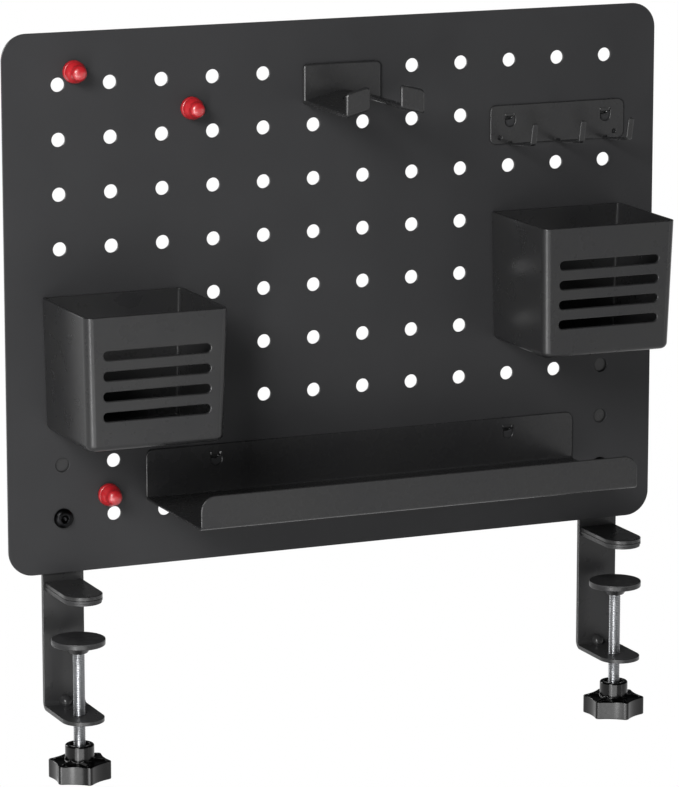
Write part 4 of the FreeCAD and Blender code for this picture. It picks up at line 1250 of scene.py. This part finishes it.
def hexagon_rings(apothem, low, high, chamfer, steps=96, inner=0.0):
    """Rings of a hexagonal head or nut.  Its corners are cut by a cone: near an end the
    hexagon's radius is limited to a circle.  Inner is the radius of a bore."""
    outline = polygon_radius(6, apothem, steps, 30)
    end = np.minimum(outline, apothem * HEX_END)
    between = np.minimum(outline, apothem * HEX_BETWEEN)
    rings = [(end, low), (between, low + chamfer * 0.5), (outline, low + chamfer),
             (outline, high - chamfer), (between, high - chamfer * 0.5), (end, high)]
    radii = [ring for ring, _ in rings]
    heights = [np.full(steps, height) for _, height in rings]
    if inner:
        bore = np.full(steps, inner)
        radii = [bore, bore + BORE_EDGE] + radii + [bore + BORE_EDGE, bore, bore]
        heights = ([heights[0] + BORE_EDGE, heights[0]] + heights
                   + [heights[-1], heights[-1] - BORE_EDGE, heights[0] + BORE_EDGE])
    return np.array(radii), np.array(heights)


print("a hexagon head has", len(hexagon_rings(5, 0, 5, 0.8)[0]), "rings")

# %% Clamp screws
HEAD_AF = 13.0                  # across flats
HEAD_H = 5.3
HEAD_CHAMFER = 0.8
OVERLAP = 0.3                   # how far rod, rivet and head reach into each other
NECK_R = 2.9
RIVET_R = 4.5
RIVET = ((NECK_R, -OVERLAP), (NECK_R, 2.5), (RIVET_R - 0.2, 2.5), (RIVET_R, 2.7), (RIVET_R, 3.3),
         (RIVET_R - 0.2, 3.5))
SHOULDER_DROP = 3.5             # end of the thread below the top of the rivet
KNOB_LIFT = 1.0                 # the knob's grip and the screw's head end this far above the solids' ends

for side in CLAMP_SIDES:
    low, high = span(f"clamp_screw_{side}")
    centre = (CLAMP_X[side], SCREW_Y, 0)
    shoulder = high[2] - SHOULDER_DROP
    thread = make_thread(f"clamp_thread_{side}", centre, low[2] + HEAD_H - OVERLAP, shoulder)
    rod = add_piece(thread, f"screw_{side}", ZINC, [f"clamp_screw_{side}"])
    rivet = lathe(f"clamp_rivet_{side}", RIVET, (CLAMP_X[side], SCREW_Y, shoulder), "up", 48)
    add_piece(rivet, f"screw_{side}", ZINC)
    head_z = low[2] + KNOB_LIFT
    radii, heights = hexagon_rings(HEAD_AF / 2, head_z, head_z + HEAD_H, HEAD_CHAMFER)
    head = spun(f"clamp_screw_head_{side}", radii, heights, centre)
    add_piece(head, f"screw_{side}", ZINC)
    print(rod.name, len(rod.data.polygons), "faces")

# %% [markdown]
# ## Knobs
#
# The real knob is moulded: six shallow hollows between rounded corners, a gable that falls
# from the hub to each corner, and a hub with a recess for the rod.  Cutting the hollows from
# a cylinder by Booleans would leave hard seams where gables and hub meet.  As rings that share
# one set of angles, the grip's outline can shrink into the hub's circle without a seam, and
# the gables are a height added on the way.

# %% Knob outline
KNOB_ACROSS = 45.0
KNOB_CORNER_R = 2.0
KNOB_FLAT_HOLLOW = 1.2


def knob_outline(across):
    """Polar outline (angle, radius) of the grip: a hollow arc in each of six sides, and an
    arc of 60 degrees round each corner.  The hollow's radius is (half chord squared plus
    depth squared) divided by twice the depth."""
    apothem = across * math.sqrt(3) / 4
    side = apothem * 2 / math.sqrt(3)
    corner = across / 2 - KNOB_CORNER_R / math.cos(math.pi / 6)
    chord = side - 2 * KNOB_CORNER_R
    hollow_r = (chord ** 2 / 4 + KNOB_FLAT_HOLLOW ** 2) / (2 * KNOB_FLAT_HOLLOW)
    reach = apothem + hollow_r - KNOB_FLAT_HOLLOW
    start = math.asin(chord / 2 / hollow_r)
    swing = np.linspace(-start, start, 19)
    hollow = np.column_stack([reach - hollow_r * np.cos(swing), hollow_r * np.sin(swing)])
    bend = np.radians(np.linspace(0, 60, 11))
    towards = math.pi / 6
    round_part = np.column_stack([corner * math.cos(towards) + KNOB_CORNER_R * np.cos(bend),
                                  corner * math.sin(towards) + KNOB_CORNER_R * np.sin(bend)])
    sector = np.concatenate([hollow, round_part])
    turns = [np.arctan2(sector[:, 1], sector[:, 0]) + number * math.pi / 3 for number in range(6)]
    return np.concatenate(turns), np.tile(np.hypot(sector[:, 0], sector[:, 1]), 6)


print("the grip's outline has", len(knob_outline(KNOB_ACROSS)[0]), "points")

# %% Knob gables
KNOB_RIDGE = ((0.0, 5.0, 2.4), (19.25, 1.25, 1.2))      # along, half width and height at each end
CREST_BLEND = 0.5
FOOT_BLEND = 0.2
RIDGE_FADE = 2.5                # a gable runs out over this distance


def ridge_height(turns, radii):
    """Height of the gables over the grip's top.  Each falls off linearly to both sides of its
    line.  Crest and foot are blended by putting the root of (x squared plus blend squared)
    in the place of x, and its outer end by a smooth step."""
    off = (turns % (math.pi / 3)) - math.pi / 6
    along = radii * np.cos(off)
    aside = radii * np.abs(np.sin(off))
    (a0, w0, h0), (a1, w1, h1) = KNOB_RIDGE
    share = np.clip((along - a0) / (a1 - a0), 0, 1)
    width = w0 + (w1 - w0) * share
    height = h0 + (h1 - h0) * share
    fall = height - np.sqrt(aside ** 2 + CREST_BLEND ** 2) * height / width + CREST_BLEND * height / width
    soft = 0.5 * (fall + np.sqrt(fall ** 2 + FOOT_BLEND ** 2)) - FOOT_BLEND / 2
    fade = np.clip((a1 - along) / RIDGE_FADE, 0, 1)
    return np.maximum(soft, 0) * fade * fade * (3 - 2 * fade)


print("gables are", KNOB_RIDGE[0][2], "mm high at the hub")

# %% Knob
KNOB_EDGE_R = 0.7
KNOB_HUB_R = 10.3
KNOB_HUB_H = 11.7
KNOB_HUB_EDGE_R = 1.2
KNOB_HUB_FILLET = 0.8
KNOB_RECESS_R = 7.0
KNOB_RECESS_H = 2.4
KNOB_POCKET_R = 7.6             # hollow below for the screw's head
KNOB_POCKET_GAP = 0.7
ROD_FIT_LOW_R = 4.2             # where the rod passes, below and above
ROD_FIT_HIGH_R = 4.1
KNOB_BREAK = 0.4                # edges of pocket and recess


def make_knob(side):
    """One knob as rings (radius, height): out of the pocket below, round the grip, inward
    over the gables, up the hub and down into its recess.  A rounded edge is the edge's
    radius times the cosine and sine of a quarter turn."""
    low, high = span(f"clamp_knob_{side}")
    bottom, top = low[2] + KNOB_LIFT, high[2]
    turns, rim = knob_outline(KNOB_ACROSS)
    flat = np.ones_like(rim)
    grip_top = top - KNOB_HUB_H
    pocket, pocket_top = KNOB_POCKET_R * flat, bottom + HEAD_H + KNOB_POCKET_GAP
    rings = [(ROD_FIT_LOW_R * flat, pocket_top), (pocket, pocket_top), (pocket, bottom + KNOB_BREAK),
             (pocket + KNOB_BREAK, bottom)]
    for start, middle, sign in ((90, bottom + KNOB_EDGE_R, -1), (0, grip_top - KNOB_EDGE_R, 1)):
        for turn in np.radians(np.linspace(start, 90 - start, 6)):
            rings.append((rim - KNOB_EDGE_R + KNOB_EDGE_R * math.cos(turn),
                          middle + sign * KNOB_EDGE_R * math.sin(turn)))
    foot = KNOB_HUB_R + KNOB_HUB_FILLET
    for share in np.linspace(0, 1, 15)[1:]:
        radius = (rim - KNOB_EDGE_R) * (1 - share) + foot * share
        rings.append((radius, grip_top + ridge_height(turns, radius)))
    base = rings[-1][1]
    for turn in np.radians(np.linspace(0, 90, 6))[1:]:
        rings.append((foot * flat - KNOB_HUB_FILLET * math.sin(turn),
                      base + KNOB_HUB_FILLET * (1 - math.cos(turn))))
    for turn in np.radians(np.linspace(0, 90, 7)):
        rings.append(((KNOB_HUB_R - KNOB_HUB_EDGE_R + KNOB_HUB_EDGE_R * math.cos(turn)) * flat,
                      top - KNOB_HUB_EDGE_R + KNOB_HUB_EDGE_R * math.sin(turn)))
    recess = top - KNOB_RECESS_H
    rings += [((KNOB_RECESS_R + KNOB_BREAK) * flat, top), (KNOB_RECESS_R * flat, top - KNOB_BREAK),
              ((KNOB_RECESS_R - 0.1) * flat, recess + 0.3), ((KNOB_RECESS_R - KNOB_BREAK) * flat, recess),
              (ROD_FIT_HIGH_R * flat, recess), (ROD_FIT_HIGH_R * flat, recess - 1.0)]
    radii = np.array([ring for ring, _ in rings])
    heights = np.array([np.broadcast_to(height, flat.shape) for _, height in rings])
    return spun(f"knob_{side}", radii, heights, (CLAMP_X[side], SCREW_Y, 0), turns=turns)


for side in CLAMP_SIDES:
    knob = add_piece(make_knob(side), f"screw_{side}", KNOB_PLASTIC, [f"clamp_knob_{side}"])
    print(knob.name, len(knob.data.polygons), "faces")

# %% [markdown]
# ## Bracket fasteners
#
# A button-head screw with a hexagon socket holds each strip to the board, with a washer and a
# nut behind.  Only the head is seen from the front, about as large as a finger nail.  A
# stock screw could be imported, but the same rings make it in a few lines.  Its first rings
# are hexagons that line the socket, and the rest are circles over the dome.

# %% Button screws
BUTTON_R = 7.0
BUTTON_H = 4.4
BUTTON_FLAT_R = 3.6             # flat ring round the socket
BUTTON_RIM_H = 0.5
SOCKET_AF = 5.0
SOCKET_DEPTH = 2.6
SOCKET_POINT = 0.5              # the drill's point at the socket's floor
SOCKET_EDGE = 0.25
SHANK_R = 3.9
SHANK_EDGE = 0.7


def make_button_screw(side):
    """Dome of a circle through the rim and the flat round the socket, whose radius is (run
    squared plus rise squared) divided by twice the rise, over a plain shank."""
    low, high = span("bracket_screws")
    steps = 96
    flat = np.ones(steps)
    socket = polygon_radius(6, SOCKET_AF / 2, steps)
    top = BUTTON_H
    rings = [(0.0 * flat, top - SOCKET_DEPTH - SOCKET_POINT), (socket, top - SOCKET_DEPTH),
             (socket, top - SOCKET_EDGE), (socket + SOCKET_EDGE, top), (BUTTON_FLAT_R * flat, top)]
    run, rise = BUTTON_R - BUTTON_FLAT_R, BUTTON_H - BUTTON_RIM_H
    radius = (run ** 2 + rise ** 2) / (2 * rise)
    for turn in np.linspace(0, math.asin(min(1.0, run / radius)), 10)[1:]:
        rings.append(((BUTTON_FLAT_R + radius * math.sin(turn)) * flat,
                      top - radius + radius * math.cos(turn)))
    tail = -(high[1] - low[1]) + BUTTON_H
    rings += [(BUTTON_R * flat, 0.15), ((BUTTON_R - 0.15) * flat, 0.0), (SHANK_R * flat, 0.0),
              (SHANK_R * flat, tail + SHANK_EDGE), ((SHANK_R - SHANK_EDGE) * flat, tail)]
    radii = np.array([ring for ring, _ in rings])
    heights = np.array([np.broadcast_to(height, flat.shape) for _, height in rings])
    seat = (CLAMP_X[side], low[1] + BUTTON_H, row_z(SCREW_ROW))
    return spun(f"bracket_screw_{side}", radii, heights, seat, "forward")


print("button heads are", 2 * BUTTON_R, "mm across")

# %% Fasteners
NUT_AF = 13.0
NUT_CHAMFER = 0.9


def make_nut(side):
    """Chamfered nut behind the washer."""
    low, high = span("bracket_nuts")
    radii, heights = hexagon_rings(NUT_AF / 2, 0.0, high[1] - low[1], NUT_CHAMFER, inner=SHANK_R)
    seat = (CLAMP_X[side], low[1], row_z(SCREW_ROW))
    return spun(f"bracket_nut_{side}", radii, heights, seat, "back", capped=False)


for side in CLAMP_SIDES:
    screw = add_piece(make_button_screw(side), "frame", BLACK_OXIDE)
    nut = add_piece(make_nut(side), "frame", ZINC)
    print(screw.name, len(screw.data.polygons), "faces,", nut.name, len(nut.data.polygons), "faces")
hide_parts("bracket_screws")
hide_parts("bracket_nuts")

# %% [markdown]
# ## Push pins
#
# Three red pins hold notes on the board by a magnet in their base.  A pin is turned: a thin
# flange, a dome, a waist and a rounded head to pull by.  Subdivision would round a few rough
# rings, and would also shrink them.  So the profile's points lie where the real outline bends,
# close enough together to shade as one curve.

# %% Push pins
PIN_PLACES = ((-198.4, 365.2), (-111.8, 335.4), (-176.0, 66.0))
PIN_POCKET = ((5.05, 3.0), (5.05, 0.4), (5.4, 0.0))
PIN_FLANGE = ((7.3, 0.0), (7.7, 0.15), (7.95, 0.6), (8.0, 2.6), (7.85, 3.2), (7.4, 3.55), (7.0, 3.8))
PIN_DOME = ((7.3, 4.2), (7.65, 4.9), (7.65, 5.8), (7.35, 6.9), (6.8, 8.0), (6.15, 9.0), (5.6, 9.9))
PIN_HEAD = ((5.4, 10.6), (5.35, 11.3), (5.5, 12.2), (5.5, 13.1), (5.2, 14.1), (4.55, 15.0), (3.5, 15.7),
            (2.1, 16.15), (0.8, 16.3))


def make_pin(number, x, z):
    """Turned grip with a pocket behind for its magnet: flange, dome, waist and rounded head."""
    profile = PIN_POCKET + PIN_FLANGE + PIN_DOME + PIN_HEAD
    return lathe(f"push_pin_grip_{number}", profile, (x, ACCESSORY_BACK, z), "forward", 64)


for number, (x, z) in enumerate(PIN_PLACES, 1):
    pin = add_piece(make_pin(number, x, z), f"pin_{number}", PIN_PLASTIC, [f"push_pin_{number}"])
    print(pin.name, len(pin.data.polygons), "faces")

# %% [markdown]
# ## Parts kept from the model
#
# Washers, pressure discs, their rubber pads and the pins' magnets are plain turned shapes,
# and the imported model's own already look right.  Making them anew would change nothing that
# is seen, so each only gets a finish.

# %% Kept parts
KEPT = {"bracket_washers": ZINC}
KEPT.update({f"foot_disc_{side}": CLAMP_COAT for side in CLAMP_SIDES})
KEPT.update({f"foot_pad_{side}": RUBBER for side in CLAMP_SIDES})
KEPT.update({f"pin_magnet_{number}": NICKEL for number in range(1, len(PIN_PLACES) + 1)})
for node, material in KEPT.items():
    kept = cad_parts[node]
    kept.data.materials.clear()
    kept.data.materials.append(material)
print(len(KEPT), "nodes kept")

# %% [markdown]
# ## Studio floor
#
# The organiser is shown on plain white.  To look as white as that, an ordinary floor would
# need so much light that the black coat would wash out.  So the floor glows to rays from the
# camera and to reflections, and is a dull pale floor to all others.  It lies a desk's height
# below the clamps, and keeps a trace of the object's shadow.

# %% Floor
FLOOR_Z = -0.74                 # metres
FLOOR_R = 2.2
FLOOR_STEPS = 128
GLOW_SPAN = (300.0, 1500.0)     # between these distances from the origin, in mm, the glow's share
GLOW_NEAR = 0.84                # of the floor's look grows from this to 1, and the shadow fades


def seen_directly(tree):
    """1 for camera, glossy and transmitted rays, which show the background, and else 0."""
    rays = add(tree, "LightPath").outputs
    either = add(tree, "Math", {0: rays["Is Camera Ray"], 1: rays["Is Glossy Ray"]}, operation="MAXIMUM")
    inputs = {0: either.outputs[0], 1: rays["Is Transmission Ray"]}
    return add(tree, "Math", inputs, operation="MAXIMUM").outputs[0]


def studio_floor():
    """Round pale floor, whose look is a mix of plain glow and lit surface.  The glow's share
    grows with the distance from the origin, as a smooth step."""
    turn = angles(FLOOR_STEPS)
    points = np.column_stack([FLOOR_R * np.cos(turn), FLOOR_R * np.sin(turn), np.full(FLOOR_STEPS, FLOOR_Z)])
    mesh = bpy.data.meshes.new("floor")
    mesh.from_pydata(points.tolist(), [], [list(range(FLOOR_STEPS))])
    floor = bpy.data.objects.new("floor", mesh)
    bpy.context.scene.collection.objects.link(floor)
    material, tree, shader, where = new_material("matte_white_floor")
    tint = {FACTOR: drift(tree, where, (400.0, 3), 0, 1),
            FIRST: linear("#e9e9e9"), SECOND: linear("#eeeeee")}
    feed(tree, shader, {"Base Color": add(tree, "Mix", tint, data_type="RGBA").outputs[MIXED],
                        "Roughness": 0.9, "Specular IOR Level": 0.0})
    distance = add(tree, "VectorMath", {0: where}, operation="LENGTH").outputs["Value"]
    spread = {"Value": distance, "From Min": GLOW_SPAN[0], "From Max": GLOW_SPAN[1],
              "To Min": GLOW_NEAR, "To Max": 1.0}
    whiteness = add(tree, "MapRange", spread, interpolation_type="SMOOTHSTEP").outputs["Result"]
    lit = add(tree, "Math", {0: whiteness, 1: seen_directly(tree)}, operation="MULTIPLY").outputs[0]
    glow = add(tree, "Emission", {"Color": (1, 1, 1, 1), "Strength": 1.0}).outputs[0]
    shown = add(tree, "MixShader", {0: lit, 1: shader.outputs[0], 2: glow})
    feed(tree, tree.nodes["Material Output"], {"Surface": shown.outputs[0]})
    mesh.materials.append(material)
    return floor


floor = studio_floor()
print(floor.name, "at", FLOOR_Z, "m")

# %% [markdown]
# ## Lights
#
# Black goods are drawn by what they mirror.  A key softbox high on the left in front models
# the forms.  A narrow strip on the left is what the chamfers mirror, and makes the bright left
# rims, and a weak strip does the same on the right.  A wide box low in front shows on the
# knobs' sides, the round noses and the rods.  It would also flatten the board, so it is seen
# in reflections only.  A box behind lights the floor and the upper edges.

# %% Lights
MIDDLE = (0.0, -0.04, 0.13)     # what the lights are aimed at
JAWS = (0.0, -0.04, -0.06)
LEFT_RIMS = (0.0, -0.04, -0.08)
RIGHT_RIMS = (0.0, -0.04, -0.05)


def area_light(name, at, aim, size, power, only_in_gloss=False):
    """Rectangular softbox at a place, facing a point, in metres and watts."""
    data = bpy.data.lights.new(name, "AREA")
    data.shape = "RECTANGLE"
    data.size, data.size_y = size
    data.energy = power
    light = bpy.data.objects.new(name, data)
    light.location = at
    light.rotation_euler = (Vector(aim) - Vector(at)).to_track_quat("-Z", "Y").to_euler()
    light.visible_camera = False
    light.visible_diffuse = not only_in_gloss
    bpy.context.scene.collection.objects.link(light)
    print(name, power, "W")


area_light("key_softbox", (-1.2, -1.15, 1.0), MIDDLE, (0.7, 0.6), 30)
area_light("front_strip", (-1.15, -1.45, -0.08), LEFT_RIMS, (0.26, 1.1), 13)
area_light("right_strip", (1.35, -1.15, -0.05), RIGHT_RIMS, (0.12, 1.1), 1.2)
area_light("low_softbox", (-0.70, -1.42, -0.48), JAWS, (2.0, 0.4), 14, only_in_gloss=True)
area_light("back_softbox", (-0.9, 2.0, 0.75), MIDDLE, (0.7, 0.9), 15)

# %% [markdown]
# ## World
#
# The world is what lies past the floor's edge.  It has to be white behind the object, yet a
# white dome would light and grey the black coat from all round.  So camera rays find white,
# reflections find white only near the horizon and a dark ceiling above it, and the light
# that falls on the object comes from a dim grey.

# %% World
HORIZON = 0.16                  # a direction whose z is over this finds the ceiling's full dark
CEILING = "#2a2b2c"
DIM = "#c9ccd0"
DIM_STRENGTH = 0.22

world = bpy.data.worlds.new("studio")
world.use_nodes = True
bpy.context.scene.world = world
tree = world.node_tree
tree.nodes.clear()
rise = add(tree, "SeparateXYZ", {0: add(tree, "TexCoord").outputs["Generated"]}).outputs["Z"]
above = {"Value": rise, "From Min": 0.0, "From Max": HORIZON, "To Min": 0.0, "To Max": 1.0}
ceiling = add(tree, "MapRange", above, interpolation_type="SMOOTHSTEP").outputs["Result"]
in_view = add(tree, "LightPath").outputs["Is Camera Ray"]
hidden = add(tree, "Math", {0: ceiling, 1: in_view}, operation="SUBTRACT", use_clamp=True).outputs[0]
shade = {FACTOR: hidden, FIRST: linear("#ffffff"), SECOND: linear(CEILING)}
dome = add(tree, "Mix", shade, data_type="RGBA").outputs[MIXED]
white = add(tree, "Background", {"Color": dome, "Strength": 1.0}).outputs[0]
dim = add(tree, "Background", {"Color": linear(DIM), "Strength": DIM_STRENGTH}).outputs[0]
chosen = add(tree, "MixShader", {0: seen_directly(tree), 1: dim, 2: white})
feed(tree, add(tree, "OutputWorld"), {"Surface": chosen.outputs[0]})
print("world of", len(tree.nodes), "nodes")

# %% [markdown]
# ## Camera
#
# The organiser is seen from the front left and slightly above, so that its front, its left
# sides and the floors of tray and jaws all show.  A short lens close by would make the near
# bin too large.  A long lens from three metres keeps the grid of holes nearly square.

# %% Camera
CAMERA_AT = (-1.21478, -2.80106, 0.75058)
CAMERA_DOWN = 11.612            # degrees below the horizon
CAMERA_RIGHT = 23.476           # degrees to the right of straight ahead
LENS = 199.43
SENSOR = 36.0

camera_data = bpy.data.cameras.new("camera")
camera_data.lens = LENS
camera_data.sensor_width = SENSOR
camera = bpy.data.objects.new("camera", camera_data)
camera.location = CAMERA_AT
camera.rotation_euler = (math.radians(90 - CAMERA_DOWN), 0, math.radians(-CAMERA_RIGHT))
bpy.context.scene.collection.objects.link(camera)
bpy.context.scene.camera = camera
bpy.context.scene.view_settings.view_transform = "Standard"
print("camera", round(math.dist(CAMERA_AT, MIDDLE), 2), "m from the object's middle")
